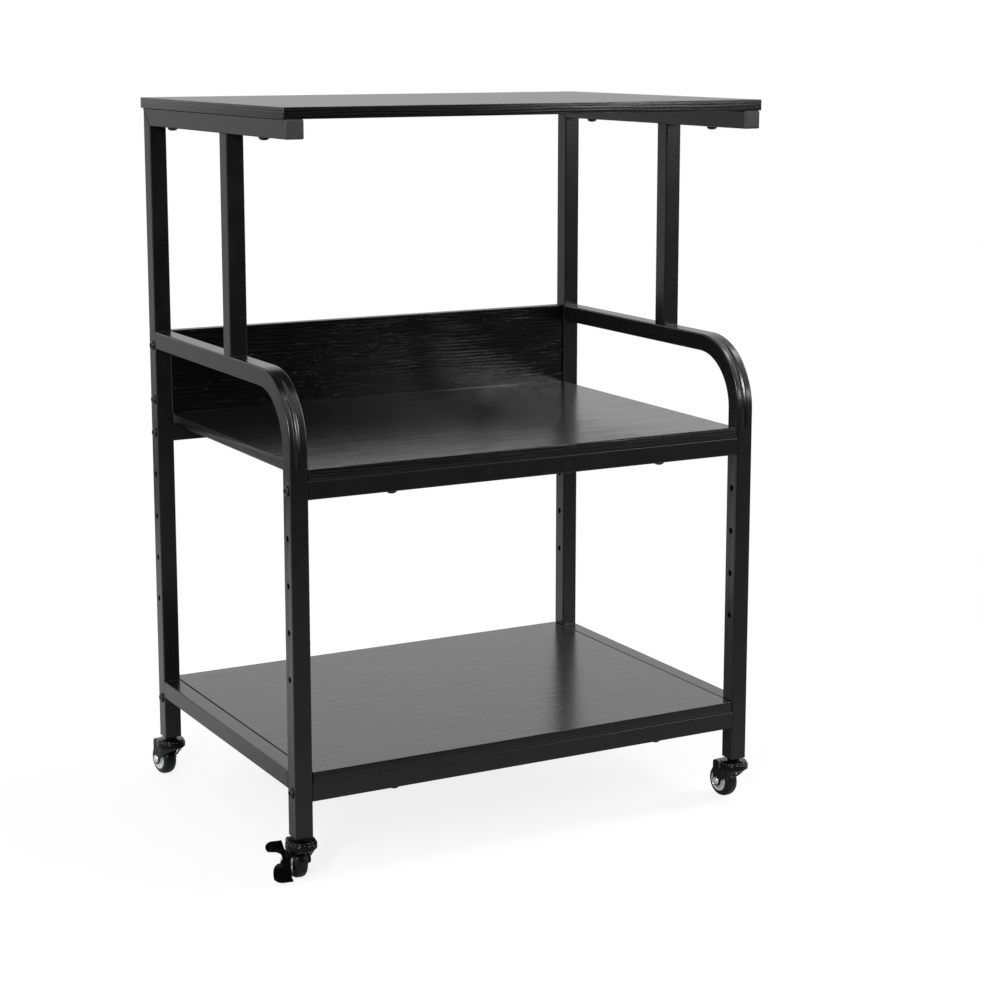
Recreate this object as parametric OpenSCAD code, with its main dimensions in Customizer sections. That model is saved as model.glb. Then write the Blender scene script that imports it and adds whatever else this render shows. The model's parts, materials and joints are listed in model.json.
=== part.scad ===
// Three-shelf printer cart: square steel tube, dark wood-grain boards and four swivel castors.
// The front of the cart faces -Y, and the floor is Z = 0.

/* [Frame] */
// Width over the posts
frame_w = 570; // [440:5:800]
// Depth over the posts
frame_d = 410; // [360:5:560]
// Outer size of the square tube
tube = 20; // [18:1:25]
// Wall of the square tube
wall = 1.2; // [1:0.1:2]
// Outside corner radius of the tube
corner_r = 1.5; // [1.4:0.1:2.5]
// Centre-line radius of the bent bow
bow_r = 70; // [40:1:90]
// Depth of the crease pressed into the outside of the bow's bend
crease_depth = 3.5; // [1:0.5:5]
// Length of the short posts between the bows and the top rails
short_post_h = 237; // [120:1:400]
// Distance from the front of the frame to the short posts
short_post_set = 156.5; // [110:0.5:220]
// Gap under the cross rails, down to the foot of the posts
low_gap = 38; // [20:1:120]
// Height from the bottom cross rails to the lowest free bolt hole
first_level = 123; // [60:1:160]
// Step between the bolt holes that set the middle shelf
level_pitch = 50; // [25:1:60]
// Number of bolt holes in a row, of which the top one holds the middle shelf
levels = 5; // [2:1:5]

/* [Boards] */
// Thickness of every board
board_t = 12; // [11:0.5:18]
// Edge band thickness
band_t = 0.8; // [0.4:0.1:2]
// How far the top board stands out past the posts at each side
top_over_x = 2.5; // [0:0.5:20]
// How far the top board stands out past the posts at the front and back
top_over_y = 2; // [0:0.5:20]
// Gap between a lower board and the frame at each side
board_gap = 1; // [0.5:0.5:3]
// Height of the back panel
panel_h = 98; // [60:1:180]
// Distance of the panel screws from the panel's lower and upper edges
panel_screw_in = 17; // [10:1:25]
// Depth of the groove in the middle board that the back panel stands in
panel_groove = 1; // [0.5:0.5:2]

/* [Fasteners] */
// Shank diameter of the frame and board bolts
bolt_d = 6; // [5:0.5:7]
// Diameter of the round bolt heads
head_d = 11.5; // [10:0.5:13]
// Height of the heads of the rail bolts and panel screws
head_h = 2.8; // [2.5:0.1:4]
// Height of the heads of the board bolts
board_head_h = 3.8; // [2.5:0.1:5]
// Width across the flats of the hexagon socket
socket_af = 4; // [3:0.5:5]
// Radial gap of a bolt in its clearance hole
hole_gap = 0.5; // [0.3:0.1:0.8]
// How far a bolt reaches into the insert in a rail end
rail_bite = 14; // [8:1:20]
// How far a bolt reaches into a board
board_bite = 8; // [6:0.5:8]
// Shank diameter of the back panel screws
screw_d = 5; // [4:0.5:6]
// How far a panel screw reaches into the panel
screw_bite = 26; // [15:1:40]
// Distance between the two board bolts of a cross rail
cross_bolt_span = 332; // [150:1:380]
// Distance from the front of the frame to the first board bolt of a top rail
top_bolt_set = 77; // [30:1:120]
// Distance between the two board bolts of a top rail
top_bolt_span = 265; // [140:1:270]
// Length of the insert in a rail end
insert_l = 16; // [15:1:30]
// Thickness of the cap on the front end of a top rail
cap_t = 2; // [1:0.5:4]

/* [Castors] */
// Wheel diameter
wheel_d = 38; // [32:1:50]
// Tyre width
tyre_w = 16; // [14:0.5:20]
// Distance of the wheel axle behind the swivel axis
trail = 18; // [14:0.5:22]
// Axle diameter
axle_d = 6; // [5:0.5:7]
// Thickness of the fork's pressed sheet
sheet = 1.6; // [1.2:0.1:2]
// Diameter of the fork's crown
crown_d = 34; // [31:0.5:36]
// Diameter of the race balls
ball_d = 3; // [2.5:0.1:3.2]
// Number of race balls
balls = 18; // [8:1:20]
// Thickness of the castor's top plate
plate_t = 2; // [1.5:0.1:3]
// Height of the hexagon collar between the top plate and the post
collar_h = 4; // [2:0.5:8]
// Threaded stem diameter
stem_d = 8; // [6:1:10]
// Threaded stem length above the collar
stem_l = 15; // [10:1:18]
// Depth of the skirt round the fork's crown, from the crown's top
skirt_h = 4.2; // [2:0.1:4.5]
// Length of the brake lever's rear arm from the axle
lever_rear = 26.5; // [22:0.5:30]
// Length of the brake lever's front arm from the axle
lever_front = 30; // [25:0.5:34]
// How far the brake pedals stand out from the middle of the wheel
pedal_out = 31; // [24:0.5:36]
// Slope of the brake lever at rest, with the rear pedal up
lever_tilt = 22; // [10:1:25]
// Heading of the front left castor's trail, from the X axis
front_left_heading = 81; // [0:1:359]
// Heading of the front right castor's trail
front_right_heading = 94; // [0:1:359]
// Heading of the back left castor's trail
back_left_heading = 98; // [0:1:359]
// Heading of the back right castor's trail
back_right_heading = 254; // [0:1:359]

/* [Hidden] */
$fn = 48;

// Clearances: running, sideways, seated, ball in its groove, and past the end of a bolt
run_gap = 0.05;
side_gap = 0.3;
seat_gap = 0.05;
ball_seat_gap = 0.02;
ball_gap = 0.2;
bolt_end_gap = 0.5;

// How far a cut runs past a face, and how far joined shapes run into each other
past = 1;
join = 0.5;

// Tube interior
inner = tube - 2 * wall;
least_inner_r = 0.2;
inner_r = max(corner_r - wall, least_inner_r);

// Castor levels
axle_z = wheel_d / 2;
tyre_top_gap = 3.6;
crown_z = wheel_d + tyre_top_gap;
crown_top = crown_z + sheet;
ball_lift = 0.4;
ball_z = crown_top + ball_lift + ball_d / 2;
race_depth = 0.6;
plate_z = ball_z + ball_d / 2 - race_depth;
plate_top = plate_z + plate_t;
foot_z = plate_top + collar_h;

// Castor parts
ball_r = ball_d / 2;
race_in = 4;
race_r = crown_d / 2 - race_in;
rolled_r = (ball_z - crown_z) / 2;
plate_lip = 0.9;
plate_r = race_r + ball_r + plate_lip;
king_r = 3;
king_head_r = 5.5;
king_head_h = 1.4;
leg_gap = 1.4;
leg_in = tyre_w / 2 + leg_gap;
leg_out = leg_in + sheet;
boss_wall = 3.5;
leg_boss_r = axle_d / 2 + boss_wall;
fork_rear = trail + leg_boss_r;
fork_set = 5;
fork_front = -crown_d / 2 + fork_set;
fork_hollow_r = 46;
fold_in = 1;
fold_out = fold_in + sheet;
hub_wall = 3;
hub_r = axle_d / 2 + hub_wall;
tyre_t = 6.4;
rim_r = wheel_d / 2 - tyre_t;
ring_t = 1.6;
dish_depth = 3;
dish_half = tyre_w / 2 - dish_depth;
rim_lip = 0.3;
shoulder_r = 6;
dome_r = 4.6;
dome_h = 2.6;
nut_af = 9;
nut_h = 3;
cap_nut_af = 10;
cap_nut_h = 3;
collar_af = 13;
collar_flange_d = 14.5;
collar_flange_h = 1;
lever_t = 1.2;
lever_y = leg_out + side_gap;
lever_mid = 2;
lever_top = 9.5;
lever_low = -8;
arch_r = 27;
belly_r = 25;
neck_w = 5.5;
pedal_half_w = 9.5;
bay_corner_r = 8;
front_rise = -3;
rear_rise = 4;
emboss_d = 4;
emboss_h = 0.5;
emboss_x = 13;

// Frame levels
foot_flange = 2;
post_z = foot_z + foot_flange;
low_rail_z = foot_z + low_gap + tube / 2;
low_board_z = low_rail_z + tube / 2;
side_rail_z = low_board_z + board_t - tube / 2;
first_hole_z = low_rail_z + first_level;
mid_rail_z = first_hole_z + level_pitch * (levels - 1);
mid_board_z = mid_rail_z + tube / 2;
panel_z = mid_board_z + board_t;
bow_z = panel_z + panel_h - tube / 2;
top_rail_z = bow_z + tube + short_post_h;
top_board_z = top_rail_z + tube / 2;

// Frame places. The back castors trail out behind the frame and the front ones under it, so
// the frame stands forward of the origin by half of what sticks out
frame_y = -(trail + wheel_d / 2 - crown_d / 2) / 2;
post_x = frame_w / 2 - tube / 2;
post_y = frame_d / 2 - tube / 2;
bay_w = frame_w - 2 * tube;
bay_d = frame_d - 2 * tube;
short_post_y = short_post_set - frame_d / 2 + tube / 2;
board_w = bay_w - 2 * board_gap;
crease_r = 0.35 * tube;
crease_set = 4.2 * crease_depth;
crease_path_r = bow_r + tube / 2 - crease_depth + crease_r + crease_set;
top_w = frame_w + 2 * top_over_x;
top_d = frame_d + 2 * top_over_y;
bolt_r = bolt_d / 2;
hole_r = bolt_r + hole_gap;
nut_wall = 1.6;
nut_r = bolt_r + nut_wall;
nut_l = board_bite + bolt_end_gap;
head_side = 0.45;
socket_depth = 2;
plug_w = inner - 2 * seat_gap;
foot_plug_end = 5;
foot_plug_h = stem_l + foot_plug_end;
cap_plug_l = 12;
top_bolts_y = [top_bolt_set - frame_d / 2, top_bolt_set + top_bolt_span - frame_d / 2];
cross_bolts_x = [-cross_bolt_span / 2, cross_bolt_span / 2];
top_bolts = [for (x = [-post_x, post_x], y = top_bolts_y) [x, y]];
low_bolts = [for (x = cross_bolts_x, y = [-post_y, post_y]) [x, y]];
level_z = [for (i = [0 : levels - 1]) first_hole_z + i * level_pitch];
panel_screws_z = [panel_z + panel_screw_in, panel_z + panel_h - panel_screw_in];

// Places of the four castors: side, end, heading of the trail
FRONT_LEFT = [-1, -1, front_left_heading];
FRONT_RIGHT = [1, -1, front_right_heading];
BACK_LEFT = [-1, 1, back_left_heading];
BACK_RIGHT = [1, 1, back_right_heading];

// Colours
steel_black = "#2b2b2c";
board_black = "#3a3a3a";
band_black = "#2e2e2e";
plastic_black = "#1c1c1d";
bolt_black = "#161616";
castor_black = "#151516";
tyre_black = "#202022";
zinc = "#c9ccce";

// Square with four round corners
module round_square(size, r) {
    square([size - 2 * r, size], center = true);
    square([size, size - 2 * r], center = true);
    for (x = [-1, 1], y = [-1, 1])
        translate([x * (size / 2 - r), y * (size / 2 - r)]) circle(r = r);
}

// Cross section of the hollow square tube
module tube_section() {
    difference() {
        round_square(tube, corner_r);
        round_square(inner, inner_r);
    }
}

// Straight tube of length l, standing on Z = 0
module tube_run(l) {
    linear_extrude(l) tube_section();
}

// Tube of length l along +Y
module tube_along_y(l) {
    rotate([-90, 0, 0]) tube_run(l);
}

// Tube of length l along +X
module tube_along_x(l) {
    rotate([90, 0, 90]) tube_run(l);
}

// Cross hole through a post at height z, through both walls
module level_hole(z, r) {
    translate([-tube, 0, z]) rotate([0, 90, 0]) cylinder(h = 2 * tube, r = r);
}

// Everything on the far side of the 45 degree mitre at the top back corner
module mitre_cut(above) {
    size = 3 * tube;
    translate([0, frame_d / 2, top_rail_z + tube / 2])
        rotate([45, 0, 0])
            translate([-size / 2, -size / 2, above ? 0 : -size]) cube(size);
}

// Everything is drawn round the middle of the frame and moved to the frame's place
module in_frame() {
    translate([0, frame_y, 0]) children();
}

// Side frames: each is drawn on the plane X = 0 and moved to its side
module at_side(side) {
    in_frame() translate([side * post_x, 0, 0]) children();
}

module back_post() {
    difference() {
        translate([0, post_y, post_z]) tube_run(top_rail_z + tube / 2 - post_z);
        mitre_cut(true);
        for (z = concat([low_rail_z], level_z))
            translate([0, post_y, 0]) level_hole(z, hole_r);
        for (z = panel_screws_z)
            translate([0, post_y, 0]) level_hole(z, screw_d / 2 + hole_gap);
    }
}

module top_rail() {
    difference() {
        translate([0, -frame_d / 2, top_rail_z]) tube_along_y(frame_d);
        mitre_cut(false);
        for (y = top_bolts_y)
            translate([0, y, top_rail_z - tube]) cylinder(h = 2 * tube, r = hole_r);
    }
}

module short_post() {
    translate([0, short_post_y, bow_z + tube / 2]) tube_run(short_post_h);
}

// Moves a turned shape to the bow's bend, whose first quarter turn is the bend
module at_bend() {
    translate([0, bow_r - post_y, bow_z - bow_r]) rotate([0, 90, 0]) rotate([0, 0, 180]) children();
}

// Carries a section along the bow, and longer by extra at both ends: arm, bend and front post
module along_bow(extra) {
    arm_l = frame_d / 2 - tube + post_y - bow_r;
    foot = post_z - extra;
    translate([0, bow_r - post_y, bow_z])
        rotate([-90, 0, 0]) linear_extrude(arm_l + extra) children();
    at_bend() rotate_extrude(angle = 90, $fn = 96) translate([bow_r, 0]) children();
    translate([0, -post_y, foot]) linear_extrude(bow_z - bow_r - foot) children();
}

// Round channel in the outside of the bend. It follows a wider arc than the bend, so that it is
// deepest in the middle and runs out at both ends
module crease(r) {
    inward = -crease_set / sqrt(2);
    at_bend() translate([inward, inward, 0])
        rotate_extrude(angle = 90, $fn = 96) translate([crease_path_r, 0]) circle(r = r);
}

// One tube bent from a level arm into the front post
module bow() {
    difference() {
        along_bow(0) round_square(tube, corner_r);
        difference() {
            along_bow(past) round_square(inner, inner_r);
            crease(crease_r + wall);
        }
        crease(crease_r);
        for (z = concat([low_rail_z], level_z))
            translate([0, -post_y, 0]) level_hole(z, hole_r);
    }
}

module bottom_rail() {
    translate([0, -bay_d / 2, side_rail_z]) tube_along_y(bay_d);
}

// Cross rail under a board, between the posts
module cross_rail(y, z) {
    difference() {
        translate([-bay_w / 2, y, z]) tube_along_x(bay_w);
        for (x = cross_bolts_x)
            translate([x, y, z - tube]) cylinder(h = 2 * tube, r = hole_r);
    }
}

// Core of a board with the blind holes for its insert nuts
module board_core(w, d, z, bolts) {
    difference() {
        translate([-w / 2 + band_t, -d / 2 + band_t, z])
            cube([w - 2 * band_t, d - 2 * band_t, board_t]);
        for (b = bolts)
            translate([b[0], b[1], z - past]) cylinder(h = past + nut_l, r = nut_r + seat_gap);
    }
}

// Four strips of edge band round a board
module edging(w, d, h) {
    strip_l = d - 2 * band_t;
    for (side = [-1, 1]) {
        translate([-w / 2, side * (d - band_t) / 2 - band_t / 2, 0]) cube([w, band_t, h]);
        translate([side * (w - band_t) / 2 - band_t / 2, -strip_l / 2, 0]) cube([band_t, strip_l, h]);
    }
}

module top_board() {
    color(board_black) in_frame() board_core(top_w, top_d, top_board_z, top_bolts);
}

// Groove across the middle board that the back panel stands in
module panel_slot() {
    translate([-frame_w / 2, post_y - board_t / 2 - seat_gap, panel_z - panel_groove])
        cube([frame_w, board_t + 2 * seat_gap, panel_groove + past]);
}

module middle_board() {
    color(board_black) in_frame() difference() {
        board_core(board_w, frame_d, mid_board_z, low_bolts);
        panel_slot();
    }
}

module bottom_board() {
    color(board_black) in_frame() board_core(board_w, frame_d, low_board_z, low_bolts);
}

module top_board_edging() {
    color(band_black) in_frame() translate([0, 0, top_board_z]) edging(top_w, top_d, board_t);
}

module middle_board_edging() {
    color(band_black) in_frame() difference() {
        translate([0, 0, mid_board_z]) edging(board_w, frame_d, board_t);
        panel_slot();
    }
}

module bottom_board_edging() {
    color(band_black) in_frame() translate([0, 0, low_board_z]) edging(board_w, frame_d, board_t);
}

// Places of the panel screws on the outer faces of the back posts, pointing inwards
module at_panel_screws() {
    for (side = [-1, 1], z = panel_screws_z)
        translate([side * frame_w / 2, post_y, z]) rotate([0, -side * 90, 0]) children();
}

module back_panel() {
    color(board_black) in_frame() difference() {
        translate([-bay_w / 2, post_y - board_t / 2, panel_z - panel_groove])
            cube([bay_w, board_t, panel_h + panel_groove - band_t]);
        at_panel_screws() cylinder(h = tube + screw_bite + bolt_end_gap, r = screw_d / 2 + seat_gap);
    }
}

// The panel's upper edge is the one that shows
module back_panel_edging() {
    color(band_black) in_frame()
        translate([-bay_w / 2, post_y - board_t / 2, panel_z + panel_h - band_t])
            cube([bay_w, board_t, band_t]);
}

// Cap of a sphere over a disc of radius r, h high and standing on Z = 0
module round_cap(r, h) {
    cap_r = (r * r + h * h) / (2 * h);
    intersection() {
        translate([0, 0, h - cap_r]) sphere(r = cap_r, $fn = 64);
        cylinder(h = h, r = r);
    }
}

// Round-headed bolt: head below Z = 0, shank up to l
module bolt(l, d, head) {
    side = head_side * head;
    difference() {
        rotate([180, 0, 0]) {
            cylinder(h = side, d = head_d);
            translate([0, 0, side]) round_cap(head_d / 2, head - side);
        }
        translate([0, 0, -head - past])
            cylinder(h = past + socket_depth, r = socket_af / sqrt(3), $fn = 6);
    }
    cylinder(h = l, r = d / 2);
}

// Places of the cross rail bolts, on the outer faces of the posts
module at_rail_bolts() {
    for (side = [-1, 1], y = [-post_y, post_y], z = [low_rail_z, mid_rail_z])
        translate([side * frame_w / 2, y, z]) rotate([0, -side * 90, 0]) children();
}

// Places of the board bolts, on the undersides of the rails
module at_board_bolts() {
    for (b = top_bolts) translate([b[0], b[1], top_rail_z - tube / 2]) children();
    for (b = low_bolts, z = [low_rail_z, mid_rail_z])
        translate([b[0], b[1], z - tube / 2]) children();
}

module rail_bolts() {
    color(bolt_black) in_frame() at_rail_bolts() bolt(tube + rail_bite, bolt_d, head_h);
}

module board_bolts() {
    color(bolt_black) in_frame() at_board_bolts()
        bolt(tube + board_bite, bolt_d, board_head_h);
}

module panel_screws() {
    color(bolt_black) in_frame() at_panel_screws() bolt(tube + screw_bite, screw_d, head_h);
}

module rail_end_inserts() {
    color(plastic_black) in_frame() at_rail_bolts() translate([0, 0, tube]) difference() {
        linear_extrude(insert_l) round_square(plug_w, inner_r);
        translate([0, 0, -past]) cylinder(h = insert_l + 2 * past, r = bolt_r + seat_gap);
    }
}

module board_insert_nuts() {
    color(zinc) in_frame() at_board_bolts() translate([0, 0, tube]) difference() {
        cylinder(h = nut_l, r = nut_r);
        translate([0, 0, -past]) cylinder(h = nut_l + 2 * past, r = bolt_r + seat_gap);
    }
}

// Square plug with a head as wide as the tube, head below Z = 0
module plug(head, depth) {
    linear_extrude(depth) round_square(plug_w, inner_r);
    translate([0, 0, -head]) linear_extrude(head) round_square(tube, corner_r);
}

module rail_end_caps() {
    color(plastic_black) for (side = [-1, 1]) at_side(side)
        translate([0, -frame_d / 2, top_rail_z]) rotate([-90, 0, 0]) plug(cap_t, cap_plug_l);
}

module post_foot_inserts() {
    color(plastic_black) in_frame() for (x = [-post_x, post_x], y = [-post_y, post_y])
        translate([x, y, post_z]) difference() {
            plug(foot_flange, foot_plug_h);
            translate([0, 0, -foot_flange - past])
                cylinder(h = stem_l + 2 * past, r = stem_d / 2 + seat_gap);
        }
}

// Castors: each piece is drawn with the swivel axis on Z and the trail along +X
module at_castor(place) {
    in_frame() translate([place[0] * post_x, place[1] * post_y, 0])
        rotate([0, 0, place[2]]) children();
}

// Turns a piece drawn round Z so that it lies round the wheel axle, with +Z to +Y
module on_axle() {
    translate([trail, 0, axle_z]) rotate([-90, 0, 0]) children();
}

module stem() {
    translate([0, 0, foot_z]) cylinder(h = stem_l, r = stem_d / 2);
    translate([0, 0, plate_top + collar_flange_h])
        cylinder(h = collar_h - collar_flange_h, r = collar_af / sqrt(3), $fn = 6);
    translate([0, 0, plate_top]) cylinder(h = collar_flange_h, d = collar_flange_d);
    translate([0, 0, plate_z]) cylinder(h = plate_t, r = stem_d / 2);
    translate([0, 0, crown_z - side_gap]) cylinder(h = plate_z - crown_z + side_gap, r = king_r);
    translate([0, 0, crown_z - side_gap - king_head_h]) cylinder(h = king_head_h, r = king_head_r);
}

module top_plate() {
    edge_r = plate_t / 2;
    rotate_extrude() difference() {
        union() {
            translate([stem_d / 2, plate_z]) square([plate_r - edge_r - stem_d / 2, plate_t]);
            translate([plate_r - edge_r, plate_z + edge_r]) circle(r = edge_r);
        }
        translate([race_r, ball_z]) circle(r = ball_r + ball_seat_gap);
    }
}

module race_balls() {
    for (i = [0 : balls - 1])
        rotate([0, 0, i * 360 / balls]) translate([race_r, 0, ball_z]) sphere(r = ball_r, $fn = 24);
}

// Pressed crown with the lower ball race, and a skirt under its rolled edge
module crown() {
    edge_x = crown_d / 2 - rolled_r;
    rotate_extrude() difference() {
        union() {
            translate([king_r + run_gap, crown_z]) square([edge_x - king_r - run_gap, sheet]);
            translate([edge_x, crown_z + rolled_r]) circle(r = rolled_r);
            translate([crown_d / 2 - sheet, crown_top - skirt_h])
                square([sheet, crown_z + rolled_r - crown_top + skirt_h]);
        }
        translate([race_r, ball_z]) circle(r = ball_r + ball_gap);
    }
}

// Side view of the fork: a level top, an upright rear edge and a hollow front edge that runs
// from the crown down to a tangent of the axle boss
module fork_outline() {
    top = [fork_front, crown_top];
    to_axle = [trail, axle_z] - top;
    slope = atan2(to_axle[1], to_axle[0]) - asin(leg_boss_r / norm(to_axle));
    edge_l = sqrt(pow(norm(to_axle), 2) - pow(leg_boss_r, 2));
    edge = [cos(slope), sin(slope)];
    back = sqrt(pow(fork_hollow_r, 2) - pow(edge_l / 2, 2));
    hollow = top + edge_l / 2 * edge + back * [edge[1], -edge[0]];
    difference() {
        polygon([
            top, [fork_rear, crown_top], [fork_rear, axle_z], [trail, axle_z],
            top + edge_l * edge
        ]);
        translate(hollow) circle(r = fork_hollow_r, $fn = 96);
    }
    translate([trail, axle_z]) circle(r = leg_boss_r);
}

// Slab on Y = 0 with two round upper corners
module channel_block(half_w, top, r) {
    translate([-half_w, 0]) square([2 * half_w, top - r]);
    translate([-half_w + r, 0]) square([2 * (half_w - r), top]);
    for (s = [-1, 1]) translate([s * (half_w - r), top - r]) circle(r = r);
}

// End view of the fork: a channel with rounded folds
module fork_channel() {
    difference() {
        channel_block(leg_out, crown_top, fold_out);
        translate([0, -past]) channel_block(leg_in, crown_z + past, fold_in);
    }
}

module fork() {
    difference() {
        union() {
            crown();
            intersection() {
                translate([0, leg_out + past, 0]) rotate([90, 0, 0])
                    linear_extrude(2 * (leg_out + past)) fork_outline();
                translate([fork_front - past, 0, 0]) rotate([90, 0, 90])
                    linear_extrude(fork_rear - fork_front + 2 * past) fork_channel();
            }
        }
        translate([0, 0, crown_z - past]) cylinder(h = sheet + 2 * past, r = king_r + run_gap);
        on_axle() translate([0, 0, -leg_out - past])
            cylinder(h = 2 * (leg_out + past), r = axle_d / 2 + seat_gap);
    }
}

// Axle bolt. It ends in a riveted dome, or in a domed cap nut outside a brake lever
module axle(lever) {
    end_y = lever ? lever_y + lever_t + side_gap : leg_out;
    dome_y = lever ? end_y + cap_nut_h : end_y;
    on_axle() {
        translate([0, 0, -leg_out - nut_h]) cylinder(h = dome_y + leg_out + nut_h, r = axle_d / 2);
        if (lever)
            translate([0, 0, end_y]) cylinder(h = cap_nut_h, r = cap_nut_af / sqrt(3), $fn = 6);
        translate([0, 0, dome_y]) round_cap(dome_r, dome_h);
        translate([0, 0, -leg_out - nut_h]) cylinder(h = nut_h, r = nut_af / sqrt(3), $fn = 6);
    }
}

// Zinc wheel centre: hub, recessed disc and bright outer ring
module rim() {
    hub_half = leg_in - side_gap;
    ring_half = tyre_w / 2 + rim_lip;
    on_axle() rotate_extrude() {
        translate([axle_d / 2 + run_gap, -hub_half])
            square([hub_r - axle_d / 2 - run_gap, 2 * hub_half]);
        translate([hub_r - join, -dish_half])
            square([rim_r - ring_t - hub_r + 2 * join, 2 * dish_half]);
        translate([rim_r - ring_t, -ring_half]) square([ring_t, 2 * ring_half]);
    }
}

// Tyre with a flat tread between two round shoulders
module tyre() {
    shoulder_x = wheel_d / 2 - shoulder_r;
    shoulder_y = tyre_w / 2 - shoulder_r;
    on_axle() rotate_extrude() intersection() {
        translate([rim_r, -tyre_w / 2]) square([tyre_t, tyre_w]);
        union() {
            translate([rim_r, -tyre_w / 2]) square([shoulder_x - rim_r, tyre_w]);
            translate([rim_r, -shoulder_y]) square([tyre_t, 2 * shoulder_y]);
            for (side = [-1, 1]) translate([shoulder_x, side * shoulder_y]) circle(r = shoulder_r);
        }
    }
}

// Brake lever, drawn round the wheel axle: +X to the front, +Y up, +Z outwards
module on_lever() {
    translate([trail, 0, axle_z]) rotate([90, 0, 180]) rotate([0, 0, -lever_tilt]) children();
}

// Upper bow of the lever's eye-shaped plate
module lever_arch(r) {
    translate([lever_mid, lever_top - arch_r]) circle(r = r, $fn = 96);
}

module lever_plate() {
    difference() {
        intersection() {
            lever_arch(arch_r);
            translate([lever_mid, lever_low + belly_r]) circle(r = belly_r, $fn = 96);
        }
        circle(r = axle_d / 2 + run_gap);
    }
}

// Half the width of the arch at the level of a pedal
function arch_half(rise) = sqrt(pow(arch_r, 2) - pow(arch_r - lever_top + rise + lever_t, 2));

// Edge view of the flange: the arch over the axle and a straight tongue at each end, the rear
// one higher on the arch than the front one
module flange_edge() {
    rear_l = lever_rear + lever_mid;
    front_l = lever_front - lever_mid;
    intersection() {
        difference() {
            lever_arch(arch_r);
            lever_arch(arch_r - lever_t);
        }
        union() {
            translate([-lever_rear, rear_rise]) square([rear_l, arch_r]);
            translate([lever_mid, front_rise]) square([front_l, arch_r]);
        }
    }
    translate([-lever_rear, rear_rise]) square([rear_l - arch_half(rear_rise) + lever_t, lever_t]);
    translate([lever_mid + arch_half(front_rise) - lever_t, front_rise])
        square([front_l - arch_half(front_rise) + lever_t, lever_t]);
}

// Plan of the flange: two round pedals with a round-cornered bay between them over the axle
module flange_plan() {
    reach = pedal_out - lever_y;
    straight = reach - pedal_half_w;
    bay_half_w = (lever_rear + lever_front) / 2 - 2 * pedal_half_w;
    bay_depth = reach + past - lever_t - neck_w;
    difference() {
        translate([-lever_rear, 0]) square([lever_rear + lever_front, straight]);
        translate([(lever_front - lever_rear) / 2, reach + past])
            rotate(180) channel_block(bay_half_w, bay_depth, bay_corner_r);
    }
    for (x = [pedal_half_w - lever_rear, lever_front - pedal_half_w])
        translate([x, straight]) circle(r = pedal_half_w);
}

module lever() {
    on_lever() translate([0, 0, lever_y]) {
        linear_extrude(lever_t) lever_plate();
        translate([emboss_x, 0, lever_t]) cylinder(h = emboss_h, d = emboss_d);
        intersection() {
            linear_extrude(pedal_out) flange_edge();
            translate([0, arch_r, 0]) rotate([90, 0, 0]) linear_extrude(2 * arch_r) flange_plan();
        }
    }
}

// Nodes of the frame
module left_back_post() { color(steel_black) at_side(-1) back_post(); }
module left_top_rail() { color(steel_black) at_side(-1) top_rail(); }
module left_short_post() { color(steel_black) at_side(-1) short_post(); }
module left_bow() { color(steel_black) at_side(-1) bow(); }
module left_bottom_rail() { color(steel_black) at_side(-1) bottom_rail(); }
module right_back_post() { color(steel_black) at_side(1) back_post(); }
module right_top_rail() { color(steel_black) at_side(1) top_rail(); }
module right_short_post() { color(steel_black) at_side(1) short_post(); }
module right_bow() { color(steel_black) at_side(1) bow(); }
module right_bottom_rail() { color(steel_black) at_side(1) bottom_rail(); }
module middle_front_rail() { color(steel_black) in_frame() cross_rail(-post_y, mid_rail_z); }
module middle_back_rail() { color(steel_black) in_frame() cross_rail(post_y, mid_rail_z); }
module bottom_front_rail() { color(steel_black) in_frame() cross_rail(-post_y, low_rail_z); }
module bottom_back_rail() { color(steel_black) in_frame() cross_rail(post_y, low_rail_z); }

// Nodes of the castors
module front_left_stem() { color(zinc) at_castor(FRONT_LEFT) stem(); }
module front_left_top_plate() { color(castor_black) at_castor(FRONT_LEFT) top_plate(); }
module front_left_balls() { color(zinc) at_castor(FRONT_LEFT) race_balls(); }
module front_left_fork() { color(castor_black) at_castor(FRONT_LEFT) fork(); }
module front_left_axle() { color(zinc) at_castor(FRONT_LEFT) axle(true); }
module front_left_rim() { color(zinc) at_castor(FRONT_LEFT) rim(); }
module front_left_tyre() { color(tyre_black) at_castor(FRONT_LEFT) tyre(); }
module front_left_brake_lever() { color(castor_black) at_castor(FRONT_LEFT) lever(); }
module front_right_stem() { color(zinc) at_castor(FRONT_RIGHT) stem(); }
module front_right_top_plate() { color(castor_black) at_castor(FRONT_RIGHT) top_plate(); }
module front_right_balls() { color(zinc) at_castor(FRONT_RIGHT) race_balls(); }
module front_right_fork() { color(castor_black) at_castor(FRONT_RIGHT) fork(); }
module front_right_axle() { color(zinc) at_castor(FRONT_RIGHT) axle(false); }
module front_right_rim() { color(zinc) at_castor(FRONT_RIGHT) rim(); }
module front_right_tyre() { color(tyre_black) at_castor(FRONT_RIGHT) tyre(); }
module back_left_stem() { color(zinc) at_castor(BACK_LEFT) stem(); }
module back_left_top_plate() { color(castor_black) at_castor(BACK_LEFT) top_plate(); }
module back_left_balls() { color(zinc) at_castor(BACK_LEFT) race_balls(); }
module back_left_fork() { color(castor_black) at_castor(BACK_LEFT) fork(); }
module back_left_axle() { color(zinc) at_castor(BACK_LEFT) axle(false); }
module back_left_rim() { color(zinc) at_castor(BACK_LEFT) rim(); }
module back_left_tyre() { color(tyre_black) at_castor(BACK_LEFT) tyre(); }
module back_right_stem() { color(zinc) at_castor(BACK_RIGHT) stem(); }
module back_right_top_plate() { color(castor_black) at_castor(BACK_RIGHT) top_plate(); }
module back_right_balls() { color(zinc) at_castor(BACK_RIGHT) race_balls(); }
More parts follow.
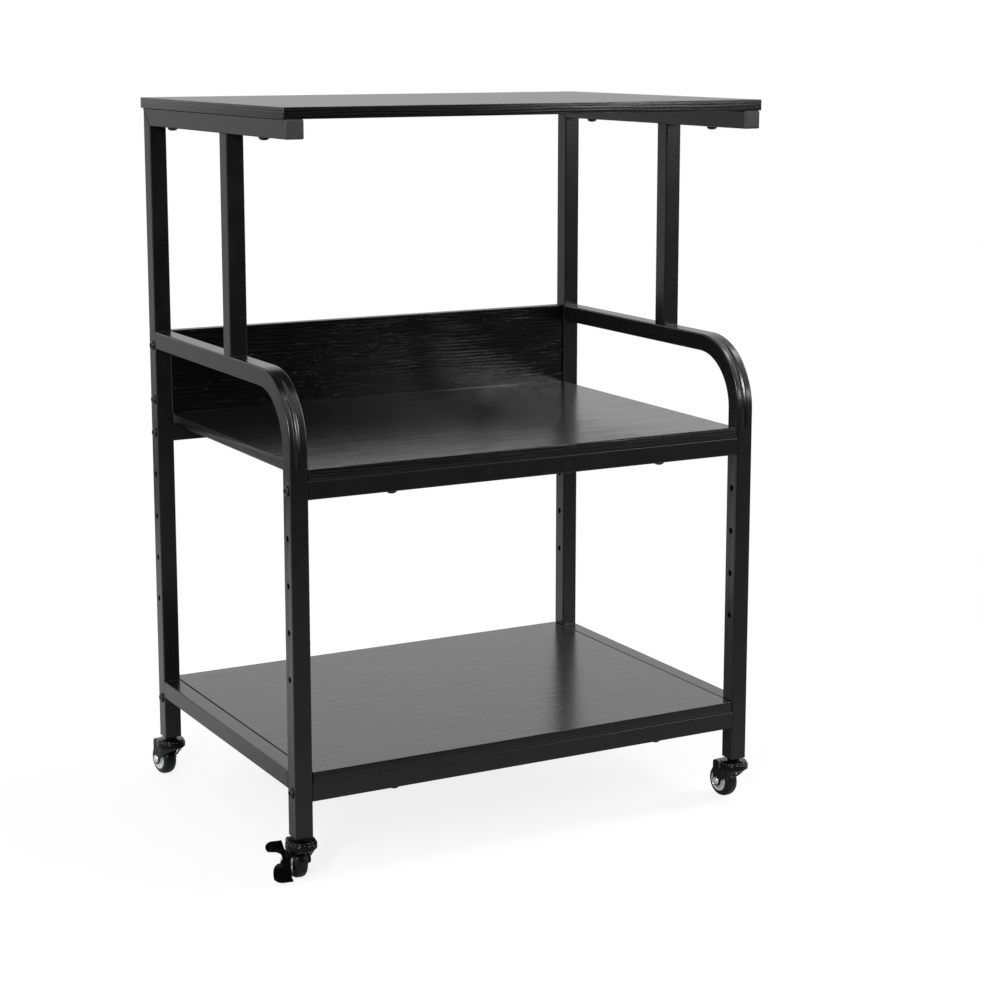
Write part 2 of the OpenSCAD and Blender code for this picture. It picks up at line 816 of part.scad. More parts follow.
module back_right_fork() { color(castor_black) at_castor(BACK_RIGHT) fork(); }
module back_right_axle() { color(zinc) at_castor(BACK_RIGHT) axle(true); }
module back_right_rim() { color(zinc) at_castor(BACK_RIGHT) rim(); }
module back_right_tyre() { color(tyre_black) at_castor(BACK_RIGHT) tyre(); }
module back_right_brake_lever() { color(castor_black) at_castor(BACK_RIGHT) lever(); }

left_back_post();
left_top_rail();
left_short_post();
left_bow();
left_bottom_rail();
right_back_post();
right_top_rail();
right_short_post();
right_bow();
right_bottom_rail();
middle_front_rail();
middle_back_rail();
bottom_front_rail();
bottom_back_rail();
top_board();
middle_board();
bottom_board();
back_panel();
top_board_edging();
middle_board_edging();
bottom_board_edging();
back_panel_edging();
rail_end_caps();
rail_end_inserts();
post_foot_inserts();
board_insert_nuts();
rail_bolts();
board_bolts();
panel_screws();
front_left_stem();
front_left_top_plate();
front_left_balls();
front_left_fork();
front_left_axle();
front_left_rim();
front_left_tyre();
front_left_brake_lever();
front_right_stem();
front_right_top_plate();
front_right_balls();
front_right_fork();
front_right_axle();
front_right_rim();
front_right_tyre();
back_left_stem();
back_left_top_plate();
back_left_balls();
back_left_fork();
back_left_axle();
back_left_rim();
back_left_tyre();
back_right_stem();
back_right_top_plate();
back_right_balls();
back_right_fork();
back_right_axle();
back_right_rim();
back_right_tyre();
back_right_brake_lever();
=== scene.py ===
"""Printer cart of square steel tube, dark wood-grain boards and four swivel castors.

Shapes are written in millimetres and brought to metres once, where a mesh is built.
"""

import json
import math

import bmesh
import bpy
import numpy as np
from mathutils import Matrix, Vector


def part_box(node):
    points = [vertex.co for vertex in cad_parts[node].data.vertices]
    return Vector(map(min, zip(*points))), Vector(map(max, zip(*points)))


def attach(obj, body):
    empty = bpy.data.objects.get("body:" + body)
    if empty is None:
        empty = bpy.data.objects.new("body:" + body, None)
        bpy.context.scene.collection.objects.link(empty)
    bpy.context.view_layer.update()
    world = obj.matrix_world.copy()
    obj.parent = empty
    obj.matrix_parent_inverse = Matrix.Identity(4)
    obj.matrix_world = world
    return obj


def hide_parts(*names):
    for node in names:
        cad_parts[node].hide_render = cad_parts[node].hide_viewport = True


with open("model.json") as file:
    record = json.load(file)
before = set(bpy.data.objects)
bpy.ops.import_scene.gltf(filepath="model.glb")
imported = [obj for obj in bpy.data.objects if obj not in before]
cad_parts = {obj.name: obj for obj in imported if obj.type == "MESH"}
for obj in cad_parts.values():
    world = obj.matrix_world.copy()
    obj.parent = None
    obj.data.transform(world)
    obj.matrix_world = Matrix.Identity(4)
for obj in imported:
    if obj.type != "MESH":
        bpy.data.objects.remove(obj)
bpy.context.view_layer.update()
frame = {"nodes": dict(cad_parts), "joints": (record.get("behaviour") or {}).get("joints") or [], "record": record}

MM = 0.001
SIDES = ("left", "right")
CASTORS = ("front_left", "front_right", "back_left", "back_right")

# Sizes of the CAD model that its boxes don't give, in mm
TUBE, WALL, CORNER_R, CORNER_STEPS = 20, 1.2, 1.5, 4
BEND_R = 70
HOLE_R = 3.5
BOLT_LEVELS = (100, 223, 273, 323, 373, 423)
HEAD_R, HEAD_H, BOARD_HEAD_H, HEAD_SIDE = 5.75, 2.8, 3.8, 0.45
SOCKET_AF, SOCKET_DEPTH = 4, 2
BOLT_R, SCREW_R = 3, 2.5
RAIL_BITE, BOARD_BITE, SCREW_BITE = 14, 8, 26
TOP_BOLTS_Y = (-138, 127)
CROSS_BOLT_X = 166
TRAIL, AXLE_Z, WHEEL_R, RIM_R = 18, 19, 19, 12.6
RACE_R, PLATE_R, COLLAR_AF = 13, 15.4, 13
AXLE_R, NUT_AF, NUT_H, CAP_NUT_AF, DOME_R, DOME_H = 3, 9, 3, 10, 4.6, 2.6
LEG_OUT, LEVER_OUT = 11, 12.8
PIN_R, PIN_HEAD_R, PIN_HEAD_LOW, PIN_HEAD_TOP = 3, 5.5, 39.9, 41.3
PLATE_LOW, PLATE_TOP, FOOT_Z = 46, 48, 52
STEM_R, STEM_TOP = 4, 67

# The next groups are sizes that only the visual pieces have, in mm.

# Crease in a bow's bend: depth, half width and place across the face, how far it runs past both
# ends of the bend (less than 0 where it stops short), and over what lengths it fades
CREASE_DEPTH, CREASE_HALF, CREASE_SIDE = 2.2, 3.6, -1.2
CREASE_PAST_ARM, CREASE_PAST_POST = -18, 26
CREASE_FADE_ARM, CREASE_FADE_POST = 44, 48

# Loops round the bend, points across a face, the gap between loops below the bend, the tube's
# inner corner and the reach of a bolt hole's cutter
BEND_STEPS, CREASE_STEPS, RING_GAP = 49, 44, 3
INSIDE_CORNER_R, BORE_REACH = 0.3, 20

# Edge bands, and the back panel's groove as the cutter for the middle board's band
BAND_T, BAND_EDGE, BAND_CORNER_R = 0.8, 0.5, 1.2
GROOVE_REACH, GROOVE_TALL = 300, 9

# Weld beads, whose ripple is a share of their radius, and the bead at the back panel's foot
WELD_HALF, WELD_R, WELD_PITCH, WELD_RIPPLE, LOOPS_A_PITCH = 8, 0.8, 1.8, 0.14, 6
FOOT_BEAD_R, FOOT_BEAD_SHORT, FOOT_BEAD_STEP = 0.9, 2, 40

# Painted shade line in a mitre: half width, how far it stands out and goes in, and how short of
# the corner it stops
SEAM_HALF, SEAM_PROUD, SEAM_DEPTH, SEAM_SHORT = 0.9, 0.06, 0.4, 0.8

# Tube caps, and the sockets, rims and shanks of the bolts
CAP_PLUG, CAP_GAP, CAP_CORNER_R = 12, 0.1, 1.5
SOCKET_TIP, SOCKET_EDGE, HEAD_EDGE, SHANK_CHAMFER = 0.5, 0.25, 0.25, 0.6

# Half width and height of the groove over the race balls
RACE_HALF, RACE_H = 1.35, 0.6

# Slack round the pins and stems of the castors, and the thread: mean radius, swing and pitch
SLACK = 0.02
THREAD_R, THREAD_SWING, THREAD_PITCH = 3.72, 0.26, 1.25

# Tyre: half width, power of its section, where it leaves the rim, and place, half width and
# height of the ring on its side and the line in its tread
TYRE_HALF, TYRE_POWER, TYRE_SEAT = 8, 2.6, 1.5
TYRE_RING_UP, TYRE_RING_HALF, TYRE_RING_H = 2.6, 0.3, 0.22
TREAD_LINE_AT, TREAD_LINE_HALF, TREAD_LINE_DEEP = 4.6, 0.25, 0.2

# Ribs of the wheel centre: radius, half length and height, and the disc's half thickness
RIB_R, RIB_LONG, RIB_H, DISC_HALF = 8.6, 1.1, 0.55, 5.2

# Rounded edges of the pressed fork and the stamped lever
FORK_EDGE, LEVER_EDGE = 0.35, 0.3

# Shoulders of the fork: top height and sheet, height of the foot and how far back it stands, the
# half axes along the trail and across it at the top and at the foot, and the share of the depth
# that they reach in front
FUNNEL_TOP, FUNNEL_SHEET = 39.8, 1.4
FUNNEL_PLAIN, FUNNEL_BRAKED = (22.5, 9.0), (26.8, 4.0)
FUNNEL_LONG, FUNNEL_WIDE, FUNNEL_ARCH = (16.8, 7.0), (16.8, 11.1), 0.2

# How much of the zinc plating shines as a metal. The rest is its fine white haze
ZINC_METALLIC = 0.7

# Studio, in metres. The unlit side in front of the cart: its direction, the cosines at which it
# starts and is full, and how directions are flattened so that it is taller than it is wide
DARK_SIDE = (-0.1, -0.995, 0.0)
DARK_FROM, DARK_FULL, DARK_STRENGTH = 0.7, 0.87, 0.03
DARK_TALL = (1.0, 1.0, 0.45)

# Height of the direction and strength where the room starts to grow light and where it is full
LOW_SKY, HIGH_SKY = (0.0, 0.26), (0.2, 0.96)

# Floor: how white the camera sees it near the cart and between which distances that becomes
# full, and the depths between which its grey in reflections rises
FLOOR_RADIUS, FLOOR_STEPS = 1.7, 96
FLOOR_WHITE, FLOOR_WHITE_FROM, FLOOR_WHITE_TO = 0.84, 0.45, 1.3
FLOOR_DIM_FRONT, FLOOR_DIM_BACK = -0.7, 0.3

# Lamps: name, place, width, height and watts. All of them aim at the cart's middle
LAMP_AIM = (0, 0, 0.4)
LAMPS = (
    ("left_lamp", (-1.8, -2.0, 1.65), 0.4, 1.0, 60),
    ("left_panel", (-2.6, -0.2, 0.6), 1.6, 1.2, 3.2),
    ("back_left_panel", (-1.35, 2.5, 0.65), 1.8, 1.3, 1.9),
    ("right_lamp", (2.3, -0.6, 1.5), 0.3, 1.2, 22),
    ("low_right_lamp", (1.5, -2.1, 1.05), 0.4, 0.4, 5),
    ("overhead_lamp", (1.35, -0.3, 2.7), 0.8, 0.6, 20),
)

# Camera: place, degrees to the right of +Y, degrees down, lens in mm and upward shift
CAMERA_AT = (-1.165, -2.270, 0.882)
CAMERA_YAW, CAMERA_PITCH, CAMERA_LENS, CAMERA_SHIFT = 28.45, 10.11, 81.6, -0.06


# Colour and material nodes

def linear(hex_colour):
    """sRGB hex to linear RGBA: each channel as a share of 255, through the sRGB curve."""
    channels = [int(hex_colour[i:i + 2], 16) / 255 for i in (1, 3, 5)]
    return [c / 12.92 if c <= 0.04045 else ((c + 0.055) / 1.055) ** 2.4 for c in channels] + [1.0]


def add(tree, kind, inputs=None, **settings):
    """Adds a node. A socket's value is a number, a colour or another node's output."""
    made = tree.nodes.new(kind)
    for name, value in settings.items():
        setattr(made, name, value)
    for socket, value in (inputs or {}).items():
        if isinstance(value, bpy.types.NodeSocket):
            tree.links.new(value, made.inputs[socket])
        else:
            made.inputs[socket].default_value = value
    return made


def new_material(name):
    """An empty node material, its tree, and its surface socket."""
    material = bpy.data.materials.new(name)
    material.use_nodes = True
    tree = material.node_tree
    tree.nodes.clear()
    surface = add(tree, "ShaderNodeOutputMaterial").inputs["Surface"]
    return material, tree, surface


def grain_coordinates(tree, along, length, width):
    """Object coordinates in which one unit is a grain's length along its axis and its width
    across, in mm. Without an axis it is the width every way."""
    size = [width * MM] * 3
    if along is not None:
        size[along] = length * MM
    place = add(tree, "ShaderNodeTexCoord").outputs["Object"]
    scaled = add(tree, "ShaderNodeMapping", {"Vector": place, "Scale": [1 / s for s in size]})
    return scaled.outputs["Vector"]


def two_tones(tree, factor, dark, light, low=0.3, high=0.7):
    """A surface's colour: dark up to low of the factor, light from high, and even between."""
    share = add(tree, "ShaderNodeMapRange", {"Value": factor, "From Min": low, "From Max": high})
    mixed = add(tree, "ShaderNodeMix",
                {"Factor": share.outputs["Result"], 6: linear(dark), 7: linear(light)},
                data_type="RGBA")
    return mixed.outputs[2]


def black_finish(name, dark, light, roughness, grit, grit_height, spots, ior=1.5):
    """A coated or moulded surface: an even black with slow tone changes and a fine orange peel.

    spots is the size of the tone changes, grit and grit_height the size of the orange peel, in mm.
    ior is lower for coats that mirror less of the room.
    """
    material, tree, surface = new_material(name)
    slow = add(tree, "ShaderNodeTexNoise",
               {"Vector": grain_coordinates(tree, None, 0, spots), "Scale": 1.0, "Detail": 3.0})
    fine = add(tree, "ShaderNodeTexNoise",
               {"Vector": grain_coordinates(tree, None, 0, grit), "Scale": 1.0, "Detail": 2.0})
    bump = add(tree, "ShaderNodeBump",
               {"Height": fine.outputs["Fac"], "Strength": 1.0, "Distance": grit_height * MM})
    dull = add(tree, "ShaderNodeMapRange",
               {"Value": slow.outputs["Fac"], "To Min": roughness[0], "To Max": roughness[1]})
    shader = add(tree, "ShaderNodeBsdfPrincipled", {
        "Base Color": two_tones(tree, slow.outputs["Fac"], dark, light),
        "Roughness": dull.outputs["Result"],
        "Normal": bump.outputs["Normal"], "IOR": ior})
    tree.links.new(shader.outputs["BSDF"], surface)
    return material


def powder_coat():
    """Satin black powder coat on steel tube: soft highlights and a faint orange peel."""
    return black_finish("satin_black_powder_coat", "#0c0c0d", "#121213", (0.2, 0.28), 0.9, 0.008,
                        24)


def castor_lacquer():
    """Glossy black dip lacquer on pressed steel: deep black with sharp highlights over slight
    waviness."""
    return black_finish("glossy_black_dip_lacquer", "#040404", "#080809", (0.1, 0.18), 2.5, 0.012,
                        9, 1.3)


def black_oxide():
    """Black-oxide steel of the bolts: near black, with a dull oily shine."""
    return black_finish("black_oxide_steel", "#0d0d0e", "#161617", (0.24, 0.34), 0.6, 0.01, 4)


def moulded_plastic():
    """Moulded black polypropylene of the tubes' caps and the rails' inserts: a dark grey with an
    even spark-eroded texture."""
    return black_finish("moulded_black_polypropylene", "#2f2f30", "#363637", (0.4, 0.5), 0.5,
                        0.02, 10)


def foot_nylon_painted_shade():
    """Black nylon of the inserts in the posts' feet, with a faint sheen. It is darker than the
    caps, which paints the shade under the posts.
    """
    return black_finish("moulded_black_nylon_painted_shade", "#060606", "#0b0b0b", (0.3, 0.4), 0.5, 0.01, 6)


def painted_mitre_shade():
    """Painted shade in the mitre where back post and top rail meet: a near black without shine,
    so that it reads as a fine dark line across the corner."""
    return black_finish("painted_shade_in_mitre", "#020202", "#040404", (0.7, 0.85), 0.5, 0.01, 4)


def castor_rubber():
    """Smooth black thermoplastic rubber of the tyres: near black with a soft gloss."""
    return black_finish("black_thermoplastic_rubber", "#08090a", "#0e0f10", (0.22, 0.34), 1.4,
                        0.01, 7, 1.35)


def wood_grain(name, along, dark, light, roughness, groove, ripple=4.4):
    """Melamine paper embossed with an oak grain: long wavy ripples, fibres and short open pores
    over broad shallow streaks.

    along is the axis that the grain follows, and groove is the depth of the emboss. Ripples
    stand ripple mm apart, about twice as far as on real paper so that they show in the render,
    with fibres half as wide between them. The other sizes are length and width in mm.
    """
    drifts, patches, fibre_length, ripple_length, pore = (160, 26), (70, 9), 95, 900, (14, 0.7)
    ripple_drift, fibre_drift, faint, strongest = 2.2, 1.6, 0.08, 0.5
    pore_depth, patch_depth = -0.25, 2.5
    material, tree, surface = new_material(name)

    # Ripples: the sine of the distance across the grain, which a slow drift pushes aside
    drift = add(tree, "ShaderNodeTexNoise",
                {"Vector": grain_coordinates(tree, along, *drifts), "Scale": 1.0, "Detail": 2.0})
    across = add(tree, "ShaderNodeVectorMath",
                 {0: grain_coordinates(tree, along, ripple_length, ripple), 1: (1.0, 1.0, 1.0)},
                 operation="DOT_PRODUCT")
    phase = add(tree, "ShaderNodeMath",
                {0: drift.outputs["Fac"], 1: ripple_drift, 2: across.outputs["Value"]},
                operation="MULTIPLY_ADD")
    turn = add(tree, "ShaderNodeMath", {0: phase.outputs["Value"], 1: 2 * math.pi},
               operation="MULTIPLY")
    wave = add(tree, "ShaderNodeMath", {0: turn.outputs["Value"]}, operation="SINE")

    # The ripples are strong in patches and faint between them
    breaks = add(tree, "ShaderNodeTexNoise",
                 {"Vector": grain_coordinates(tree, along, *patches), "Scale": 1.0, "Detail": 2.0})
    strong = add(tree, "ShaderNodeMapRange",
                 {"Value": breaks.outputs["Fac"], "From Min": 0.35, "From Max": 0.62,
                  "To Min": faint, "To Max": strongest})

    # Fibres, pushed aside by the same drift, and pores where a fine noise is highest
    bend = add(tree, "ShaderNodeVectorMath",
               {0: drift.outputs["Color"], 1: [fibre_drift] * 3}, operation="MULTIPLY")
    fibres_at = add(tree, "ShaderNodeVectorMath",
                    {0: grain_coordinates(tree, along, fibre_length, ripple / 2),
                     1: bend.outputs["Vector"]})
    fibres = add(tree, "ShaderNodeTexNoise",
                 {"Vector": fibres_at.outputs["Vector"], "Scale": 1.0, "Detail": 4.0,
                  "Roughness": 0.55})
    pores = add(tree, "ShaderNodeTexNoise",
                {"Vector": grain_coordinates(tree, along, *pore), "Scale": 1.0, "Detail": 2.0})
    open_pores = add(tree, "ShaderNodeMapRange",
                     {"Value": pores.outputs["Fac"], "From Min": 0.55, "From Max": 0.7})

    # Depth is ripples times their strength, plus fibres, less pores. It colours the surface, and
    # the emboss adds the broad patches to it
    rippled = add(tree, "ShaderNodeMath",
                  {0: wave.outputs["Value"], 1: strong.outputs["Result"],
                   2: fibres.outputs["Fac"]}, operation="MULTIPLY_ADD")
    depth = add(tree, "ShaderNodeMath",
                {0: open_pores.outputs["Result"], 1: pore_depth, 2: rippled.outputs["Value"]},
                operation="MULTIPLY_ADD")
    height = add(tree, "ShaderNodeMath",
                 {0: breaks.outputs["Fac"], 1: patch_depth, 2: depth.outputs["Value"]},
                 operation="MULTIPLY_ADD")
    bump = add(tree, "ShaderNodeBump",
               {"Height": height.outputs["Value"], "Strength": 1.0, "Distance": groove * MM})
    dull = add(tree, "ShaderNodeMapRange",
               {"Value": fibres.outputs["Fac"], "To Min": roughness[0], "To Max": roughness[1]})
    shader = add(tree, "ShaderNodeBsdfPrincipled", {
        "Base Color": two_tones(tree, depth.outputs["Value"], dark, light, 0.2, 0.8),
        "Roughness": dull.outputs["Result"],
        "Normal": bump.outputs["Normal"], "IOR": 1.5})
    tree.links.new(shader.outputs["BSDF"], surface)
    return material


def board_melamine():
    """Black wood-grain melamine on the boards: low sheen broken by the embossed grain."""
    return wood_grain("black_oak_grain_melamine", 0, "#090909", "#191918", (0.13, 0.24), 0.08)


def panel_melamine_painted_shade():
    """The same melamine on the back panel with a deeper emboss, whose ripples catch the light. Its
    colours are darker than the boards' as painted shade for the panel under the top board."""
    return wood_grain("deep_oak_grain_melamine_painted_shade", 0, "#030303", "#0c0c0b", (0.12, 0.2), 0.12)


def band_abs(name, along):
    """Black ABS edge band with lengthwise grain lines that catch the light."""
    return wood_grain(name, along, "#040404", "#131312", (0.2, 0.3), 0.12, 3.2)


def zinc_plate(name, roughness, blotch):
    """Bright zinc plating: a metal with faint crystal blotches under a fine white haze.

    blotch is the size of the blotches in mm.
    """
    material, tree, surface = new_material(name)
    grains = add(tree, "ShaderNodeTexVoronoi",
                 {"Vector": grain_coordinates(tree, None, 0, blotch), "Scale": 1.0})
    cloud = add(tree, "ShaderNodeTexNoise",
                {"Vector": grain_coordinates(tree, None, 0, 2.2 * blotch), "Scale": 1.0,
                 "Detail": 4.0})
    bump = add(tree, "ShaderNodeBump",
               {"Height": cloud.outputs["Fac"], "Strength": 0.6, "Distance": 0.05 * MM})
    dull = add(tree, "ShaderNodeMapRange",
               {"Value": cloud.outputs["Fac"], "To Min": roughness[0], "To Max": roughness[1]})
    shader = add(tree, "ShaderNodeBsdfPrincipled", {
        "Base Color": two_tones(tree, grains.outputs["Distance"], "#cfd2d3", "#f2f3f3", 0.1, 0.9),
        "Roughness": dull.outputs["Result"],
        "Normal": bump.outputs["Normal"], "Metallic": ZINC_METALLIC})
    tree.links.new(shader.outputs["BSDF"], surface)
    return material


MATERIALS = {
    "powder_coated_steel": powder_coat(),
    "wood_grain_board": board_melamine(),
    "edge_band": band_abs("black_abs_band_along_x", 0),
    "black_plastic": moulded_plastic(),
    "black_bolts": black_oxide(),
    "castor_steel": castor_lacquer(),
    "zinc_steel": zinc_plate("bright_zinc_plate", (0.18, 0.34), 0.9),
    "castor_tyre": castor_rubber(),
}
BAND_ALONG_Y = band_abs("black_abs_band_along_y", 1)
# The panel's melamine, the feet's nylon and the mitres' near black paint shade
DEEP_GRAIN_PAINTED_SHADE = panel_melamine_painted_shade()
FOOT_NYLON_PAINTED_SHADE = foot_nylon_painted_shade()
PAINTED_MITRE_SHADE = painted_mitre_shade()


def node_box(node):
    """Lowest and highest corner of a CAD node, in mm."""
    low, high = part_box(node)
    return np.array(low) / MM, np.array(high) / MM


def dress_cad_nodes():
    """Gives every CAD node the material of its slot in the record. The back panel and the
    inserts in the posts' feet get darker finishes of their own, which paint the shade on them."""
    for part in frame["record"]["subparts"]:
        mesh = frame["nodes"][part["node"]].data
        mesh.materials.clear()
        mesh.materials.append(MATERIALS[part["material_slot"]])
    # Darker copies of their slots' finish: painted shade on the panel and under the posts
    frame["nodes"]["back_panel"].data.materials[0] = DEEP_GRAIN_PAINTED_SHADE
    frame["nodes"]["post_foot_inserts"].data.materials[0] = FOOT_NYLON_PAINTED_SHADE


# Shapes. A shape is an array of loops, and each loop is an array of points in millimetres.

def loop_faces(loops, around, end_to_end):
    """Quads between neighbouring loops. Every loop closes on itself, and end_to_end joins the
    last loop to the first."""
    index = np.arange(loops * around).reshape(loops, around)
    if end_to_end:
        index = np.vstack([index, index[:1]])
    here, there = index[:-1], index[1:]
    quads = [here, np.roll(here, -1, 1), np.roll(there, -1, 1), there]
    return np.stack(quads, -1).reshape(-1, 4)


def six_volumes(points, faces):
    """Six times the signed volume of a closed shell of quads: the triple products of their
    halves, added up."""
    a, b, c, d = (points[faces[:, i]] for i in range(4))
    halves = np.einsum("ij,ij->i", a, np.cross(b, c)) + np.einsum("ij,ij->i", a, np.cross(c, d))
    return halves.sum()


def piece(name, shells, slot, body="frame", stands_for=(), end_to_end=False, sharp=35,
          weld=0.004):
    """Makes a piece of closed shells, each an array of loops, and lets it ride on a body.

    Faces of a shell whose signed volume is negative are turned round. Points closer than weld
    mm are merged, which closes poles. Edges sharper than sharp degrees stay sharp in the shading.
    """
    points, faces, count = [], [], 0
    for shell in shells:
        loops, around = shell.shape[:2]
        quads = loop_faces(loops, around, end_to_end)
        flat = shell.reshape(-1, 3)
        if six_volumes(flat - flat.mean(0), quads) < 0:
            quads = quads[:, ::-1]
        points.append(flat)
        faces.append(quads + count)
        count += len(flat)
    mesh = bpy.data.meshes.new(name)
    mesh.from_pydata(np.concatenate(points) * MM, [], np.concatenate(faces))
    tidy = bmesh.new()
    tidy.from_mesh(mesh)
    bmesh.ops.remove_doubles(tidy, verts=tidy.verts, dist=weld * MM)
    tidy.to_mesh(mesh)
    tidy.free()
    return settle(name, mesh, slot, body, stands_for, sharp)


def settle(name, mesh, slot, body, stands_for, sharp):
    """Links a finished mesh, shades it, gives it its slot's material and lets it ride."""
    mesh.shade_smooth()
    mesh.set_sharp_from_angle(angle=math.radians(sharp))
    mesh.materials.clear()
    mesh.materials.append(MATERIALS[slot])
    made = bpy.data.objects.new(name, mesh)
    bpy.context.scene.collection.objects.link(made)
    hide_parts(*stands_for)
    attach(made, body)
    return made


def softened(node, name, width, slot, body, angle=28, weld=0.002, level=0.5):
    """Copy of a CAD node with every edge sharper than angle degrees rounded to width.

    Points closer than weld are merged, and faces level to within level degrees are joined.
    """
    mesh = frame["nodes"][node].data.copy()
    tidy = bmesh.new()
    tidy.from_mesh(mesh)
    bmesh.ops.remove_doubles(tidy, verts=tidy.verts, dist=weld * MM)
    bmesh.ops.dissolve_limit(tidy, angle_limit=math.radians(level), verts=tidy.verts,
                             edges=tidy.edges)
    tidy.to_mesh(mesh)
    tidy.free()
    made = settle(name, mesh, slot, body, [node], angle)
    bevel = made.modifiers.new("rounded_edges", "BEVEL")
    bevel.width, bevel.segments = width * MM, 2
    bevel.limit_method, bevel.angle_limit = "ANGLE", math.radians(angle)
    bevel.miter_outer = "MITER_ARC"
    return made


def cut(made, cutter_shells):
    """Cuts closed shells out of a piece and keeps the result as its mesh."""
    tool = piece("cutter", cutter_shells, "black_plastic")
    trim = made.modifiers.new("cut", "BOOLEAN")
    trim.object, trim.solver = tool, "EXACT"
    bpy.context.view_layer.update()
    depsgraph = bpy.context.evaluated_depsgraph_get()
    result = bpy.data.meshes.new_from_object(made.evaluated_get(depsgraph))
    made.modifiers.remove(trim)
    made.data = result
    bpy.data.objects.remove(tool)


def rounded_square(half, radius, face_steps=2):
    """Points round a square with round corners, from its upper left.

    A side runs straight from -(half - radius) to half - radius and then turns by 90 degrees on
    the corner's circle, and the other sides are the same points turned.
    """
    flat = np.linspace(-(half - radius), half - radius, face_steps + 1)
    side = np.stack([flat, np.full_like(flat, half)], 1)
    turn = np.linspace(0, math.pi / 2, CORNER_STEPS + 1)[1:-1]
    corner = half - radius + radius * np.stack([np.sin(turn), np.cos(turn)], 1)
    quarters = [np.concatenate([side, corner])]
    for _ in range(3):
        quarters.append(np.stack([quarters[-1][:, 1], -quarters[-1][:, 0]], 1))
    return np.concatenate(quarters)


def rounded_rectangle(half_w, half_d, radius):
    """Points round a rectangle with round corners: each corner's centre and its quarter circle."""
    turn = np.linspace(0, math.pi / 2, CORNER_STEPS + 1)
    angles = np.concatenate([turn + i * math.pi / 2 for i in range(4)])
    signs = np.repeat([[1, 1], [-1, 1], [-1, -1], [1, -1]], CORNER_STEPS + 1, axis=0)
    centres = signs * [half_w - radius, half_d - radius]
    return centres + radius * np.stack([np.cos(angles), np.sin(angles)], 1)


def capped(sides):
    """Closes a shape of open loops with a point loop at each end."""
    ends = [np.repeat(loop.mean(0)[None], len(loop), 0) for loop in (sides[0], sides[-1])]
    return np.concatenate([ends[:1], sides, ends[1:]])


def directions(around):
    """Even angles round an axis."""
    return np.linspace(0, 2 * math.pi, around, endpoint=False)


def turned(profile, around=72):
    """Turns a profile of (radius, height) pairs round Z: one loop for each pair.

    A loop's point in direction a is (r cos a, r sin a, h). The radius r is one number, or a
    value for each direction where the loop isn't a circle.
    """
    angle = directions(around)
    radius = np.stack([np.broadcast_to(r, angle.shape) for r, _ in profile])
    height = np.repeat([[float(h)] for _, h in profile], around, 1)
    return np.stack([radius * np.cos(angle), radius * np.sin(angle), height], -1)


def smooth(share):
    """Rises from 0 to 1 with no slope at either end: 3 t^2 - 2 t^3."""
    share = np.clip(share, 0, 1)
    return share * share * (3 - 2 * share)


def hexagon(across_flats, around):
    """Distance from a hexagon's middle to its side in each direction: half its width across
    flats over the cosine of the angle to the nearest flat's middle."""
    return across_flats / 2 / np.cos(directions(around) % (math.pi / 3) - math.pi / 6)


# Frame pieces

def bent_bow(node, name):
    """One square tube bent from the level arm into the front post, with a crease in its bend.

    The path is the post, a quarter circle and the arm, measured by the length s from the start
    of the bend. A section point (u, v) lies at the path's point + u X + v (outward direction),
    where outward turns from -Y to +Z along the quarter. On the outer face v is lowered by the
    crease: its depth rises smoothly from nothing on the arm's and the post's side and falls
    with the squared cosine across the face. The tube's inside wall is the same, and the loops of
    both join at the ends. Weighted normals keep the flat sides flat round the bolt holes.
    """
    low, high = node_box(node)
    half = TUBE / 2
    x, y0, y1 = (low[0] + high[0]) / 2, low[1] + half, high[1]
    z0, z1 = low[2], high[2] - half
    bend = BEND_R * math.pi / 2
    rings = np.arange(RING_GAP, CREASE_PAST_POST + RING_GAP + 1, RING_GAP)
    s = np.concatenate([[z0 - (z1 - BEND_R)], -rings[::-1], np.linspace(0, bend, BEND_STEPS),
                        [bend + y1 - y0 - BEND_R]])
    angle = np.clip(s / BEND_R, 0, math.pi / 2)
    y = y0 + BEND_R * (1 - np.cos(angle)) + np.clip(s - bend, 0, None)
    z = z1 - BEND_R * (1 - np.sin(angle)) + np.clip(s, None, 0)
    depth = CREASE_DEPTH * smooth((bend + CREASE_PAST_ARM - s) / CREASE_FADE_ARM)
    depth *= smooth((s + CREASE_PAST_POST) / CREASE_FADE_POST)
    outward = np.stack([np.zeros_like(angle), -np.cos(angle), np.sin(angle)], 1)
    path = np.stack([np.full_like(angle, x), y, z], 1)

    def wall(half_size, radius, reverse):
        """Loops of the tube's outer or inner wall along the path."""
        u, v = rounded_square(half_size, radius, CREASE_STEPS).T
        share = np.clip((u - CREASE_SIDE) / CREASE_HALF, -1, 1)
        across = np.cos(math.pi / 2 * share) ** 2
        across = np.where(v > half_size - 0.01, across, 0)
        lowered = v[None, :] - depth[:, None] * across[None, :]
        loops = path[:, None, :] + lowered[..., None] * outward[:, None, :]
        loops[..., 0] += u[None, :]
        return loops[::-1] if reverse else loops

    shell = np.concatenate([wall(half, CORNER_R, False), wall(half - WALL, INSIDE_CORNER_R, True)])
    made = piece(name, [shell], "powder_coated_steel", stands_for=[node], end_to_end=True)
    holes = []
    for level in BOLT_LEVELS:
        bore = turned([(0, -BORE_REACH), (HOLE_R, -BORE_REACH), (HOLE_R, BORE_REACH),
                       (0, BORE_REACH)], 32)
        holes.append(np.stack([x + bore[..., 2], y0 + bore[..., 0], level + bore[..., 1]], -1))
    cut(made, holes)
    made.modifiers.new("even_shading", "WEIGHTED_NORMAL").keep_sharp = True


